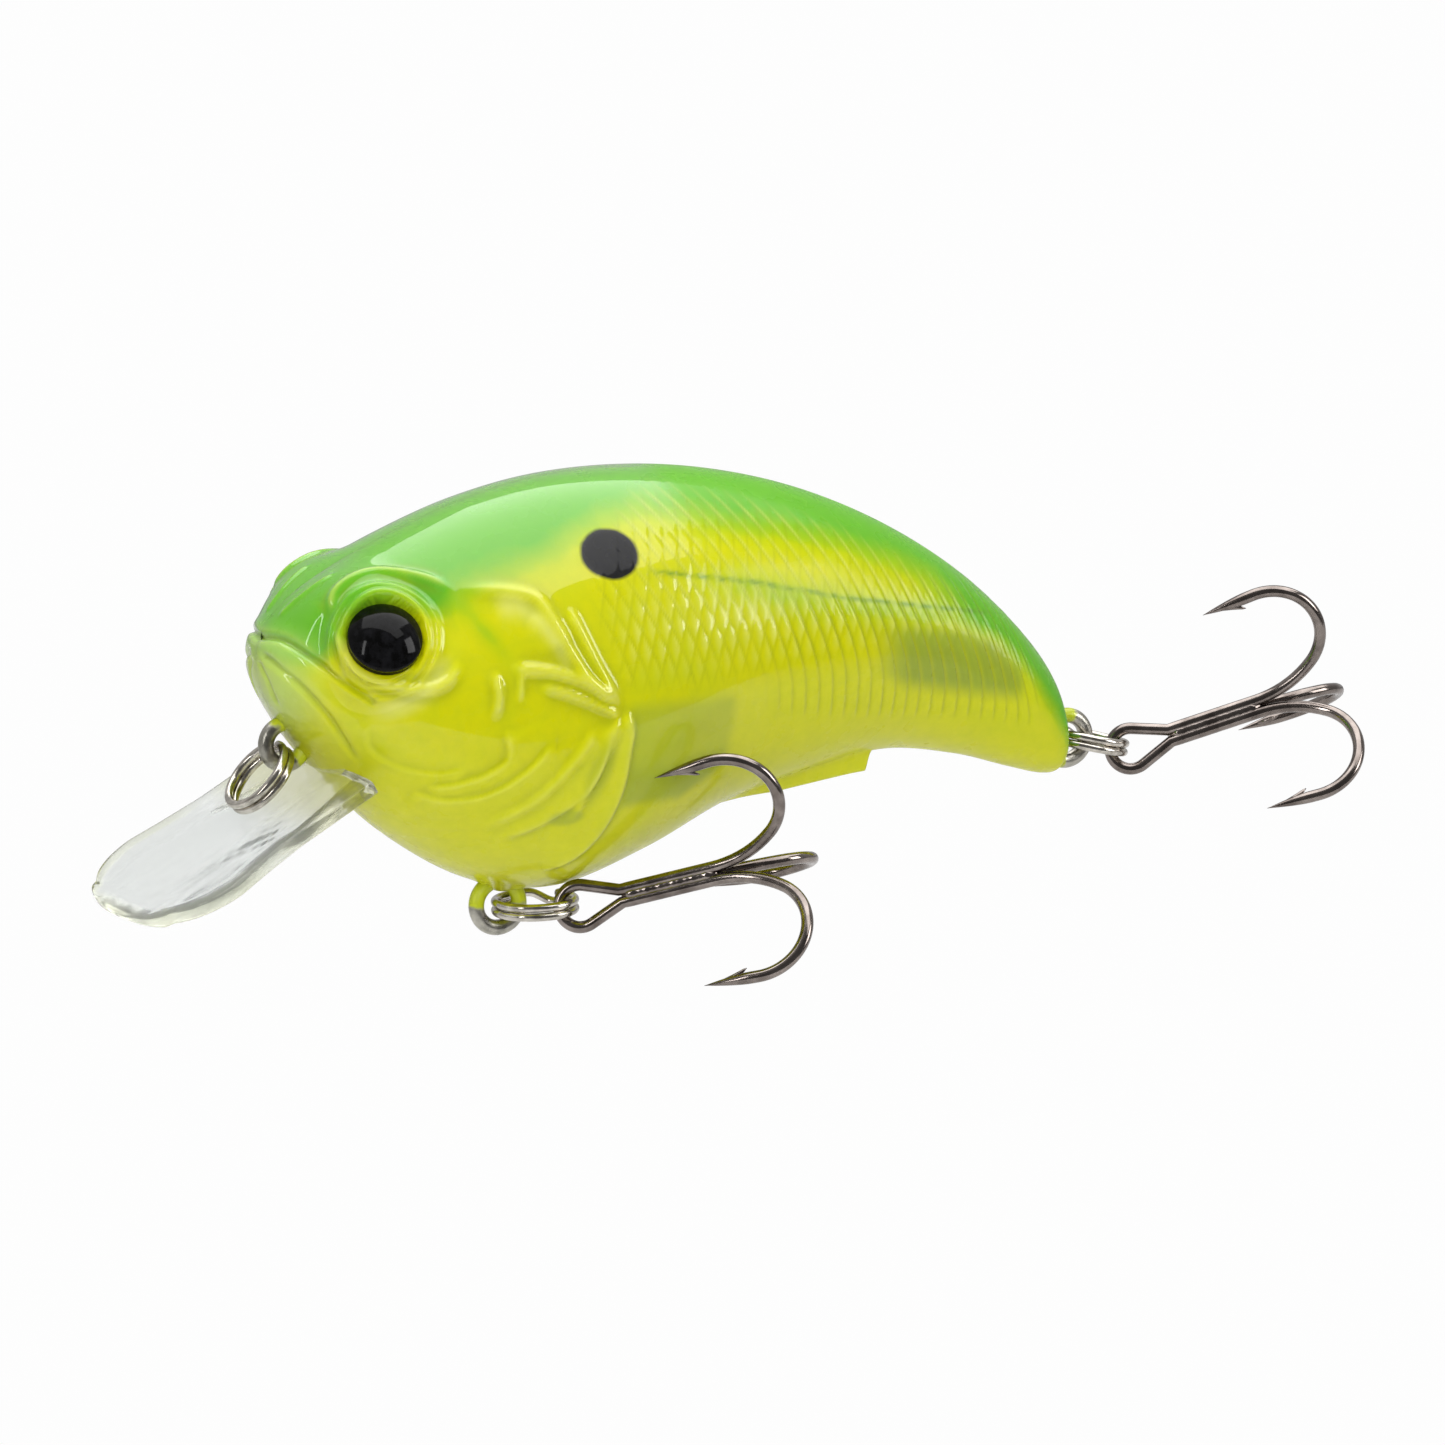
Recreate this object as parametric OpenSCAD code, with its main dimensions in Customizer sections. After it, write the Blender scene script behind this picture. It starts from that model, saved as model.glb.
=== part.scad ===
// Fat-bodied shallow diving lure: two welded shell halves over ballast and
// rattles, a clear lip, domed eyes, wire hangers, split rings and treble hooks.
// Frame: origin at the centre of the line-tie eye, +X from nose to tail, +Z up,
// and the lure's left side is towards -Y.

/* [Body] */
// Wall thickness of each shell half
wall = 1.4; // [1.2:0.1:1.6]
// Squareness of the cross-section above its widest line, where 2 is an ellipse
squareness = 2.15; // [2:0.05:2.3]
// Squareness of the cross-section below its widest line
belly_squareness = 1.9; // [1.85:0.05:2]
// Depth of the slot that takes the eye disc and dome
eye_socket_depth = 0.75; // [0.6:0.05:0.9]

/* [Eyes] */
// Diameter of an eye
eye_d = 4.7; // [4.6:0.1:5]
// Height of the clear dome above its disc
eye_dome_h = 1.35; // [1.1:0.05:1.6]
// Height of the raised brow around each eye
brow_height = 1.9; // [1.7:0.1:2]

/* [Lip] */
// Angle of the lip below the body's axis
lip_angle = 29; // [27:0.5:30]
// Half of the lip's greatest width, near its tip
lip_half_width = 8.25; // [7.8:0.05:8.6]
// Half of the lip's width where it leaves the body
lip_neck_half_width = 7.3; // [7:0.1:7.5]
// Reach of the lip in front of the line-tie eye, along the lip
lip_reach = 13.5; // [12.5:0.1:13.8]
// Thickness of the lip at its edges
lip_thickness = 1.3; // [1.2:0.05:1.5]

/* [Wires and rings] */
// Radius of the hanger wire
wire_r = 0.5; // [0.45:0.01:0.52]
// Centre-line radius of the belly and tail hanger eyes
hanger_loop_r = 1.5; // [1.5:0.05:1.7]
// Centre-line radius of the line-tie eye
tie_loop_r = 1.3; // [1.3:0.05:1.4]
// Outside diameter of the split rings that hold the hooks
split_ring_od = 5.6; // [5.5:0.05:5.7]
// Outside diameter of the line-tie split ring
tie_ring_od = 5.2; // [5.1:0.05:5.4]
// Radius of the split ring wire
split_wire_r = 0.27; // [0.25:0.01:0.28]

/* [Hooks] */
// Radius of the hook wire
hook_wire_r = 0.39; // [0.37:0.01:0.4]
// Distance of the hook bends from the shank's axis
hook_gape = 7.95; // [7.6:0.05:8.1]
// Length from the eye of the hook to where the prongs open
shank_length = 8.75; // [8.4:0.05:9]

/* [Weights] */
// Diameter of the fixed ballast ball
ballast_d = 6.2; // [5.6:0.1:6.4]
// Diameter of the two rattle balls in the belly
rattle_d = 4.4; // [4.2:0.1:4.5]
// Diameter of the two balls in the tail tube
tail_ball_d = 3.2; // [3:0.1:3.3]

/* [Hidden] */
$fn = 32;

// Gap left between pieces that are glued, welded or trapped
seat = 0.03;
// Half of the gap on the weld line between the shells
weld = 0.01;
// Room round a hanger's wire in its groove
groove = 0.06;

// Body stations from the nose to the tail: x, top, bottom, half width
stations = [
    [-2.00, 5.50, 5.50, 0],
    [-1.80, 6.75, 4.10, 1.7],
    [-1.05, 7.95, 2.40, 3.3],
    [0.75, 9.55, -0.20, 5.2],
    [3.70, 11.20, -3.50, 7.1],
    [7.60, 12.90, -6.90, 8.5],
    [12.5, 14.60, -9.65, 9.3],
    [18.0, 15.70, -10.55, 9.4],
    [24.0, 15.90, -8.80, 9.1],
    [30.0, 15.25, -6.20, 8.4],
    [36.0, 13.70, -4.70, 7.6],
    [42.0, 11.10, -3.80, 6.3],
    [47.5, 7.65, -4.55, 5.0],
    [51.8, 3.80, -5.80, 3.9],
    [54.3, 0.60, -6.45, 3.0],
    [55.35, -2.40, -6.15, 2.0],
    [55.70, -4.30, -4.30, 0]
];
tail_u = len(stations) - 1;

// Eye centre on the right side, and the direction in which the eye faces
eye_at = [3.75, 6.8, 7.49];
eye_faces = [-0.2, 0.78, 0.59];

// Brow: its centre on the side, its reach, and how much of its height goes outwards and upwards
brow_at = [3.0, 9.2];
brow_reach = 4;
brow_out = 0.35;
brow_up = 0.9;

// Lip: the height of its top face at the line tie, and its root inside the body
lip_drop = -2.6;
lip_root = -2.8;
lip_tongue = -10.5;
lip_pin_at = -8;
lip_pin_r = 1.1;

// Hanger eyes, the direction of their legs, and the length to the anchor eye
tie_legs = 30;
belly_at = [14.66, 0, -11.52];
belly_legs = 90;
tail_at = [56.28, 0, -4.32];
tail_legs = 166;
tie_length = 7;
belly_length = 6.4;
tail_length = 5.4;
anchor_r = 1.1;

// Split rings: how far a ring rides off the middle of the eye that holds it
split_pitch = 0.57;
split_mean_r = split_ring_od / 2 - split_wire_r;
tie_mean_r = tie_ring_od / 2 - split_wire_r;
belly_slack = -0.1;
tail_slack = 0.22;
tie_slack = 0.3;
tie_ring_lean = 42;
belly_ring_yaw = 39;
belly_ring_droop = -1.8;
tail_ring_yaw = -27;
tail_ring_droop = 13;

// Trebles: where the eye sits round the ring, then the shank's yaw, rise and roll
hook_eye_r = 1.34;
hook_slack = 0.43;
belly_eye_yaw = 43.5;
belly_hook_yaw = 35.5;
belly_hook_rise = 13.7;
belly_hook_roll = 10;
tail_eye_yaw = 23;
tail_hook_yaw = 30.5;
tail_hook_rise = 30;
tail_hook_roll = 6;

// Hook outline: bundle radius, the two bend radii, final heading, point length
bundle_r = hook_wire_r * 2 / sqrt(3) + 0.02;
outer_bend_r = 6.9;
inner_bend_r = 3.35;
final_heading = 184;
point_length = 3.5;
barb_from_point = 2.9;
teardrop_end = 2.7;
// The third prong's angle round the shank, where the other two are at 120 and -120
third_prong = -6;

// Weights and their chambers
ballast_at = [20.3, 0, -5.7];
front_rattle_at = [25.6, 0, -3.3];
rear_rattle_at = [31.0, 0, -1.4];
rattle_play = 0.12;
rattle_travel = 1.8;
tail_tube_start = [41.4, 0, 4.2];
tail_tube_droop = 14;
tail_tube_length = 9.3;
tail_tube_r = tail_ball_d / 2 + 0.12;

// ---------- Curves and lofts ----------

// Catmull-Rom value between b and c
function spline(a, b, c, d, t) =
    0.5 * (2 * b + (c - a) * t + (2 * a - 5 * b + 4 * c - d) * t * t
    + (3 * b - a - 3 * c + d) * t * t * t);

// Column k of the station table at any place u along the body
function station(u, k) =
    let (i = min(floor(u), tail_u - 1))
    spline(stations[max(i - 1, 0)][k], stations[i][k], stations[i + 1][k],
        stations[min(i + 2, tail_u)][k], u - i);

function signed_power(v, p) = sign(v) * pow(abs(v), p);

// How far the brow stands out at a place on the body's side
function brow(x, z) =
    let (d = norm([x, z] - brow_at) / brow_reach)
    d < 1 ? brow_height * pow(1 - d * d, 2) : 0;

// A point on the right half of the skin, at angle a above the level of the widest line
function skin_point(u, a, inset, raised) =
    let (
        top = station(u, 1) - inset,
        bottom = station(u, 2) + inset,
        half = (top - bottom) / 2,
        w = station(u, 3) - inset,
        x = station(u, 0),
        power = 2 / (a < 0 ? belly_squareness : squareness),
        y = w * pow(max(cos(a), 0), power),
        z = (top + bottom) / 2 + half * signed_power(sin(a), power),
        out = raised ? brow(x, z) * cos(a) : 0
    )
    [x, weld + y + out * brow_out, z + out * brow_up];

// Closed solid between rings of points that all have the same count
module loft(rings) {
    n = len(rings[0]);
    last = len(rings) - 1;
    sides = [
        for (i = [0:last - 1], j = [0:n - 1])
            let (a = i * n + j, b = i * n + (j + 1) % n)
            each [[a, b, b + n], [a, b + n, a + n]]
    ];
    polyhedron(
        points = [for (ring = rings) each ring],
        faces = concat(sides, [[for (j = [n - 1:-1:0]) j]], [[for (j = [0:n - 1]) last * n + j]])
    );
}

// Right half of the body, from place u0 to place u1, shrunk by inset
module half_skin(inset, u0, u1, rows, steps, raised) {
    loft([
        for (i = [0:rows])
            let (u = u0 + (u1 - u0) * i / rows)
            [for (j = [0:steps]) skin_point(u, 90 - 180 * j / steps, inset, raised)]
    ]);
}

function unit(v) = v / norm(v);

// Directions along a path
function headings(path) = [
    for (i = [0:len(path) - 1])
        unit(path[min(i + 1, len(path) - 1)] - path[max(i - 1, 0)])
];

// A side vector at each point that turns as little as it can
function side_vectors(along, first) = [
    for (
        i = 0, v = unit(first - (first * along[0]) * along[0]);
        i < len(along);
        i = i + 1, v = i < len(along) ? unit(v - (v * along[i]) * along[i]) : v
    )
        v
];

// Wire of radius r swept along a path
module swept_wire(path, r, first, sides) {
    along = headings(path);
    side = side_vectors(along, first);
    loft([
        for (i = [0:len(path) - 1])
            [for (j = [0:sides - 1])
                path[i] + r * (cos(360 * j / sides) * side[i]
                + sin(360 * j / sides) * cross(side[i], along[i]))]
    ]);
}

// ---------- Wire hangers ----------

// Part of a ring of wire in the XZ plane, from one angle to another
module wire_arc(loop_r, from, to, r) {
    rotate([90, 0, 0]) rotate([0, 0, from]) rotate_extrude(angle = to - from)
        translate([loop_r, 0]) circle(r);
}

// Hanger bent from one wire: an outer eye, two legs side by side, an anchor eye
module hanger(loop_r, length, grow) {
    r = wire_r + grow;
    gap = wire_r + seat;
    loop_opening = asin(gap / loop_r);
    anchor_opening = asin(gap / anchor_r);
    leg_start = loop_r * cos(loop_opening);
    leg_end = length - anchor_r * cos(anchor_opening);
    wire_arc(loop_r, loop_opening, 360 - loop_opening, r);
    translate([length, 0, 0]) wire_arc(anchor_r, anchor_opening - 180, 180 - anchor_opening, r);
    for (s = [-1, 1]) {
        translate([leg_start, 0, s * gap]) rotate([0, 90, 0]) cylinder(h = leg_end - leg_start, r = r);
        translate([leg_start, 0, s * gap]) sphere(r * 1.03);
        translate([leg_end, 0, s * gap]) sphere(r * 1.03);
    }
}

module tie_hanger(grow = 0) {
    rotate([0, -tie_legs, 0]) hanger(tie_loop_r, tie_length, grow);
}

module belly_hanger(grow = 0) {
    translate(belly_at) rotate([0, -belly_legs, 0]) hanger(hanger_loop_r, belly_length, grow);
}

module tail_hanger(grow = 0) {
    translate(tail_at) rotate([0, -tail_legs, 0]) hanger(hanger_loop_r, tail_length, grow);
}

module line_tie_wire() {
    color([0.55, 0.55, 0.5]) tie_hanger();
}

module belly_hanger_wire() {
    color([0.55, 0.55, 0.5]) belly_hanger();
}

module tail_hanger_wire() {
    color([0.55, 0.55, 0.5]) tail_hanger();
}

// ---------- Lip ----------

// Outline of the lip, x towards its tip and y across, shrunk by inset
module lip_outline(inset) {
    w = lip_half_width - inset;
    neck = lip_neck_half_width - inset;
    tip = lip_reach - inset;
    corner = 4.2;
    corner_x = tip - corner - 1.1;
    polygon(concat(
        [[lip_root + inset, -neck], [3.2, -neck], [6, -w + 0.45]],
        [for (a = [-80:20:0]) [corner_x + corner * cos(a), -w + corner + corner * sin(a)]],
        [[tip - 0.25, -w / 3], [tip, 0], [tip - 0.25, w / 3]],
        [for (a = [0:20:80]) [corner_x + corner * cos(a), w - corner + corner * sin(a)]],
        [[6, w - 0.45], [3.2, neck], [lip_root + inset, neck]]
    ));
}

// Turns the lip's own frame (x to the tip, z up from its top face) into place
module place_lip() {
    translate([0, 0, lip_drop]) rotate([0, -lip_angle, 0]) mirror([1, 0, 0]) children();
}

// The blade: an upper and a lower bevel on a waisted plate, and a low keel under it
module lip_blade(grow) {
    bevel = 0.3;
    for (layer = [[-0.2, 0.2, bevel], [-lip_thickness + 0.3, lip_thickness - 0.5, 0], [-lip_thickness, 0.3, 0.15]])
        translate([0, 0, layer[0] - grow])
            linear_extrude(layer[1] + 2 * grow) lip_outline(layer[2] - grow);
    hull() {
        translate([lip_root - grow, -2.4, -lip_thickness - grow]) cube([lip_reach - 1.5, 4.8, 0.5]);
        translate([lip_root - grow, -0.5, -lip_thickness - 0.5 - grow]) cube([lip_reach - 3, 1, 0.5]);
    }
}

// The tongue that is trapped between the shells
module lip_tongue_solid(grow) {
    translate([lip_tongue - grow, -3 - grow, -lip_thickness - grow])
        cube([lip_root - lip_tongue + 0.5, 6 + 2 * grow, lip_thickness + 2 * grow]);
}

module diving_lip() {
    color([0.9, 0.93, 0.92, 0.6]) place_lip() difference() {
        union() {
            lip_blade(0);
            lip_tongue_solid(0);
        }
        translate([lip_pin_at, 0, -5]) cylinder(h = 10, r = lip_pin_r + 0.05);
    }
}

// ---------- Eyes ----------

// Turns a frame whose z is the way the eye faces into place on the right side
module place_eye() {
    tilt = acos(eye_faces[2] / norm(eye_faces));
    heading = atan2(eye_faces[1], eye_faces[0]);
    translate(eye_at) rotate([0, 0, heading]) rotate([0, tilt, 0]) children();
}

module eye_disc() {
    color([0.03, 0.03, 0.03]) place_eye()
        translate([0, 0, -eye_socket_depth]) cylinder(h = 0.25, r = eye_d / 2 - 0.02);
}

// A cap of a large ball on a short straight rim
module eye_dome() {
    base = 0.27 - eye_socket_depth;
    rim = 0.3;
    rise = eye_dome_h - rim;
    r = eye_d / 2 - 0.02;
    ball_r = (r * r + rise * rise) / (2 * rise);
    color([0.08, 0.08, 0.09]) place_eye() translate([0, 0, base]) intersection() {
        cylinder(h = eye_dome_h + 1, r = r);
        translate([0, 0, eye_dome_h - ball_r]) sphere(ball_r);
    }
}

module left() {
    mirror([0, 1, 0]) children();
}

// ---------- Shells ----------

// A ball chamber that runs across the body, as a solid of radius r
module cross_bore(at, r, reach) {
    translate(at) rotate([-90, 0, 0]) translate([0, 0, -weld]) cylinder(h = reach, r = r, $fn = 24);
}

// A tube along the tail, as a solid of radius r
module tail_bore(r, extra) {
    translate(tail_tube_start) rotate([0, 90 + tail_tube_droop, 0])
        translate([0, 0, -extra]) cylinder(h = tail_tube_length + 2 * extra, r = r, $fn = 20);
}

// Thin wall across the inside of the body between two points of the XZ plane
module rib(a, b, thickness) {
    hull() for (p = [a, b])
        translate([p[0], 6, p[1]]) rotate([90, 0, 0]) cylinder(h = 12, r = thickness / 2, $fn = 12);
}

// Everything inside a half: bosses, ribs and chamber walls, before its bores are cut
module inner_structure() {
    // Blocks round the hanger wires and the lip's tongue
    hull() for (p = [[1, 0.4], [7.4, 4.2]])
        translate([p[0], 3, p[1]]) rotate([90, 0, 0]) cylinder(h = 6, r = 2.4, $fn = 16);
    hull() for (p = [[14.66, -9.5], [14.66, -5]])
        translate([p[0], 3, p[1]]) rotate([90, 0, 0]) cylinder(h = 6, r = 2.3, $fn = 16);
    hull() for (p = [[55, -4.1], [50.9, -3]])
        translate([p[0], 3, p[1]]) rotate([90, 0, 0]) cylinder(h = 6, r = 2.2, $fn = 16);
    hull() for (p = [[3.5, -3.4], [9.4, 0.6]])
        translate([p[0], 3.8, p[1]]) rotate([90, 0, 0]) cylinder(h = 7.6, r = 1.9, $fn = 16);
    // Cup for the ballast, tubes for the rattles and the tail balls
    translate(ballast_at) sphere(ballast_d / 2 + 0.7, $fn = 24);
    cross_bore(front_rattle_at, rattle_d / 2 + 0.8, 8);
    cross_bore(rear_rattle_at, rattle_d / 2 + 0.8, 8);
    tail_bore(tail_tube_r + 0.6, 0.7);
    // Ribs
    rib([14.66, -5], [14.66, 14], 1);
    rib([22.2, -3], [22.2, 15], 1);
    rib([34, -4], [34, 13], 1);
    rib([40.4, -3], [40.4, 11], 1);
    rib([10, 2], [51, 1], 0.9);
}

// The keel under the rear of the belly, which ends in a step
module keel() {
    hull() {
        translate([30, 0, -5.65]) sphere(0.45, $fn = 12);
        translate([34.5, 0, -5.05]) sphere(0.6, $fn = 12);
        translate([40.7, 0, -4.55]) sphere(0.6, $fn = 12);
        translate([40.9, 0, -2.5]) sphere(1, $fn = 12);
        translate([32, 0, -3]) sphere(1, $fn = 12);
    }
}

// Fairings where the belly and tail hangers leave the body
module hanger_fairings() {
    hull() {
        translate([14.66, 0, -8.6]) sphere(2, $fn = 20);
        translate([14.66, 0, -9.6]) sphere(1.05, $fn = 16);
    }
    hull() {
        translate([52.8, 0, -4.2]) sphere(1.9, $fn = 16);
        translate([54.7, 0, -4.5]) sphere(1.15, $fn = 16);
    }
}

// The right half, with its split face at y = weld
module right_half() {
    difference() {
        union() {
            difference() {
                union() {
                    half_skin(0, 0.04, tail_u - 0.04, 2.5 * tail_u, 16, true);
                    intersection() {
                        union() {
                            keel();
                            hanger_fairings();
                        }
                        translate([-5, weld, -20]) cube([70, 20, 40]);
                    }
                }
                half_skin(wall, 1.7, tail_u - 1.3, 24, 12, false);
                mirror([0, 1, 0]) half_skin(wall, 1.7, tail_u - 1.3, 24, 12, false);
            }
            intersection() {
                half_skin(0.4, 0.4, tail_u - 0.4, 28, 12, false);
                inner_structure();
            }
            // The bed that carries the eye
            intersection() {
                half_skin(0, 0.04, tail_u - 0.04, 2.5 * tail_u, 16, true);
                place_eye() translate([0, 0, -2.6]) cylinder(h = 4, r = eye_d / 2 + 0.9);
            }
        }
        place_eye() translate([0, 0, -eye_socket_depth - 0.01]) cylinder(h = 6, r = eye_d / 2 + seat);
        tie_hanger(groove, $fn = 14);
        belly_hanger(groove, $fn = 14);
        tail_hanger(groove, $fn = 14);
        place_lip() {
            lip_blade(seat);
            lip_tongue_solid(seat);
        }
        translate(ballast_at) sphere(ballast_d / 2 + 0.08, $fn = 28);
        cross_bore(front_rattle_at, rattle_d / 2 + rattle_play, rattle_travel + rattle_d / 2 + 0.3);
        cross_bore(rear_rattle_at, rattle_d / 2 + rattle_play, rattle_travel + rattle_d / 2 + 0.3);
        tail_bore(tail_tube_r + 0.02, 0);
    }
    lip_pin();
}

// Half of the pin through the hole in the lip's tongue
module lip_pin() {
    intersection() {
        place_lip() translate([lip_pin_at, 0, -lip_thickness - 0.5])
            cylinder(h = lip_thickness + 1, r = lip_pin_r - 0.02);
        translate([-5, weld, -20]) cube([30, 20, 40]);
    }
}

// Places of the pegs that line the halves up
pegs = [[9.5, 9.5], [27.5, 12], [37.2, 1.2]];

module peg_solids(r, length) {
    for (p = pegs)
        translate([p[0], 0, p[1]]) rotate([-90, 0, 0]) translate([0, 0, -length]) cylinder(h = 2 * length, r = r);
}

// Round posts that the pegs stand on
module posts() {
    intersection() {
        half_skin(0.4, 0.4, tail_u - 0.4, 28, 12, false);
        for (p = pegs)
            translate([p[0], weld, p[1]]) rotate([-90, 0, 0]) cylinder(h = 12, r = 1.7, $fn = 20);
    }
}

module body_shell_right() {
    color([0.8, 0.85, 0.1]) union() {
        difference() {
            union() {
                right_half();
                posts();
            }
            peg_solids(0.75, 1.8);
        }
    }
}

module body_shell_left() {
    color([0.8, 0.85, 0.1]) union() {
        left() {
            right_half();
            posts();
        }
        peg_solids(0.7, 1.5);
    }
}

// ---------- Split rings ----------

// Height of the ring's wire at an angle: two flat coils joined by a short jog
function coil_z(a) =
    let (t = min(max((a - 342) / 36, 0), 1))
    split_pitch * (t * t * (3 - 2 * t) - 0.5);

// A split ring round the origin, flat in XY, with its ends beside the jog
module split_ring(mean_r) {
    swept_wire(
        [for (a = [24:12:696]) [mean_r * cos(a), mean_r * sin(a), coil_z(a)]],
        split_wire_r, [0, 0, 1], 8
    );
}

// From a hanger eye's frame to the middle of the ring that rides in it
module on_tie() {
    rotate([0, tie_ring_lean - 180, 0]) rotate([0, -90, 0])
        translate([tie_mean_r + tie_slack, 0, 0]) children();
}

module on_belly() {
    translate(belly_at) rotate([0, belly_ring_droop, 0]) rotate([0, 0, -belly_ring_yaw])
        translate([split_mean_r + belly_slack, 0, 0]) rotate([0, 0, belly_ring_yaw]) children();
}

module on_tail() {
    translate(tail_at) rotate([0, tail_ring_droop, 0]) rotate([0, 0, -tail_ring_yaw])
        translate([split_mean_r + tail_slack, 0, 0]) rotate([0, 0, tail_ring_yaw]) children();
}

module line_tie_ring() {
    color([0.75, 0.73, 0.7]) on_tie() rotate([0, 0, 150]) split_ring(tie_mean_r);
}

module belly_ring() {
    color([0.75, 0.73, 0.7]) on_belly() rotate([0, 0, 55]) split_ring(split_mean_r);
}

module tail_ring() {
    color([0.75, 0.73, 0.7]) on_tail() rotate([0, 0, 80]) split_ring(split_mean_r);
}

// ---------- Treble hooks ----------
// A hook's own frame: origin at the middle of its eye, x along the shank, the eye in XZ

// Angle where the outer bend hands over to the inner bend
bend_change = acos((outer_bend_r + bundle_r - (hook_gape - inner_bend_r)) / (outer_bend_r - inner_bend_r));
inner_bend_at = [
    shank_length + (outer_bend_r - inner_bend_r) * sin(bend_change),
    hook_gape - inner_bend_r
];
point_start = inner_bend_at + inner_bend_r * [sin(final_heading), -cos(final_heading)];
point_way = [cos(final_heading), sin(final_heading)];
point_tip = point_start + point_length * point_way;

// Prong outline from the shank to where the point's taper starts: distance along, radius
prong = concat(
    [for (a = [0:bend_change / 4:bend_change - 1])
        [shank_length + outer_bend_r * sin(a), bundle_r + outer_bend_r * (1 - cos(a))]],
    [for (a = [bend_change:(final_heading - bend_change) / 11:final_heading + 1])
        inner_bend_at + inner_bend_r * [sin(a), -cos(a)]],
    [point_start + (point_length - barb_from_point) * point_way]
);

// From outline coordinates into the hook's frame, with the prong at an angle round the bundle
function on_prong(p, a) = [p[0], bundle_r / 2 + p[1] * cos(a), p[1] * sin(a)];

// Tapered point and barb of a prong
module point_and_barb(a) {
    base = point_start + (point_length - barb_from_point) * point_way;
    widths = [hook_wire_r, hook_wire_r * 0.86, hook_wire_r * 0.5, 0.04];
    for (i = [0:2]) hull() for (k = [i, i + 1])
        translate(on_prong(base + (point_tip - base) * k / 3, a)) sphere(widths[k], $fn = 10);
    barb_root = base + 0.9 * point_way;
    hull() {
        translate(on_prong(barb_root, a)) sphere(0.16, $fn = 8);
        translate(on_prong(barb_root - 0.9 * point_way + [0, -0.1], a)) sphere(0.2, $fn = 8);
        translate(on_prong(barb_root - 0.55 * point_way + [0, -0.75], a)) sphere(0.05, $fn = 8);
    }
}

function reversed(list) = [for (i = [len(list) - 1:-1:0]) list[i]];

// Two prongs and the eye, bent from one wire
module double_hook() {
    upper = [for (p = prong) on_prong(p, 120)];
    lower = [for (p = prong) on_prong(p, -120)];
    half_gap = bundle_r * sin(60);
    reach = norm([teardrop_end, half_gap]);
    tangent = acos(hook_eye_r / reach) + atan2(half_gap, teardrop_end);
    steps = 13;
    eye = [for (i = [0:steps])
        let (a = tangent + (360 - 2 * tangent) * i / steps)
        [hook_eye_r * cos(a), 0, hook_eye_r * sin(a)]];
    swept_wire(
        concat(reversed(upper), [[teardrop_end, 0, half_gap]], eye, [[teardrop_end, 0, -half_gap]], lower),
        hook_wire_r, [0, 1, 0], 8
    );
    point_and_barb(120);
    point_and_barb(-120);
}

// The third prong, with the run of braze that joins it to the double hook
module single_hook() {
    start = 2.9;
    swept_wire(
        concat([[start, bundle_r * 1.5, 0]], [for (p = prong) on_prong(p, third_prong)]),
        hook_wire_r, [0, 0, 1], 8
    );
    point_and_barb(third_prong);
    // Braze between the wires, in short runs
    for (i = [0:4], s = [-1, 1]) hull() for (k = [i, i + 1])
        translate([start + 0.4 + k * 1.05, bundle_r * 0.95, s * bundle_r * 0.55])
            sphere(0.16, $fn = 6);
}

// Turns a treble into place on its ring, which lies flat in XY round the origin
module place_hook(eye_yaw, yaw, rise, roll) {
    rotate([0, 0, -eye_yaw]) translate([split_mean_r + hook_slack, 0, 0])
        rotate([0, 0, eye_yaw - yaw]) rotate([0, -rise, 0]) rotate([-roll, 0, 0]) children();
}

module on_belly_ring() {
    on_belly() place_hook(belly_eye_yaw, belly_hook_yaw, belly_hook_rise, belly_hook_roll) children();
}

module on_tail_ring() {
    on_tail() place_hook(tail_eye_yaw, tail_hook_yaw, tail_hook_rise, tail_hook_roll) children();
}

module belly_double_hook() {
    color([0.3, 0.27, 0.26]) on_belly_ring() double_hook();
}

module belly_single_hook() {
    color([0.3, 0.27, 0.26]) on_belly_ring() single_hook();
}

module tail_double_hook() {
    color([0.3, 0.27, 0.26]) on_tail_ring() double_hook();
}

module tail_single_hook() {
    color([0.3, 0.27, 0.26]) on_tail_ring() single_hook();
}

// ---------- Weights ----------

module ball(at, d) {
    color([0.6, 0.6, 0.62]) translate(at) sphere(d / 2);
}

// A place on the tail tube's axis, measured back from the tube's rear end
function in_tail_tube(back) =
    tail_tube_start + (tail_tube_length - back) * [cos(tail_tube_droop), 0, -sin(tail_tube_droop)];

body_shell_left();
body_shell_right();
diving_lip();
left() eye_disc();  // left_eye_disc
left() eye_dome();  // left_eye_dome
eye_disc();  // right_eye_disc
eye_dome();  // right_eye_dome
line_tie_wire();
belly_hanger_wire();
tail_hanger_wire();
line_tie_ring();
belly_ring();
tail_ring();
belly_double_hook();
belly_single_hook();
tail_double_hook();
tail_single_hook();
ball(ballast_at, ballast_d);  // ballast_ball
ball(front_rattle_at, rattle_d);  // front_rattle_ball
ball(rear_rattle_at, rattle_d);  // rear_rattle_ball
ball(in_tail_tube(tail_ball_d * 1.5 + 0.15), tail_ball_d);  // tail_ball_front
ball(in_tail_tube(tail_ball_d / 2 + 0.1), tail_ball_d);  // tail_ball_rear
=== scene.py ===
"""Looks of a fat-bodied crankbait lure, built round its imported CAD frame.

Sizes in this script are in millimetres, as in the CAD part, and meshes are made in metres.
Frame: origin at the line-tie eye, +X from nose to tail, +Z up, the lure's left side towards -Y.
"""

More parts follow.
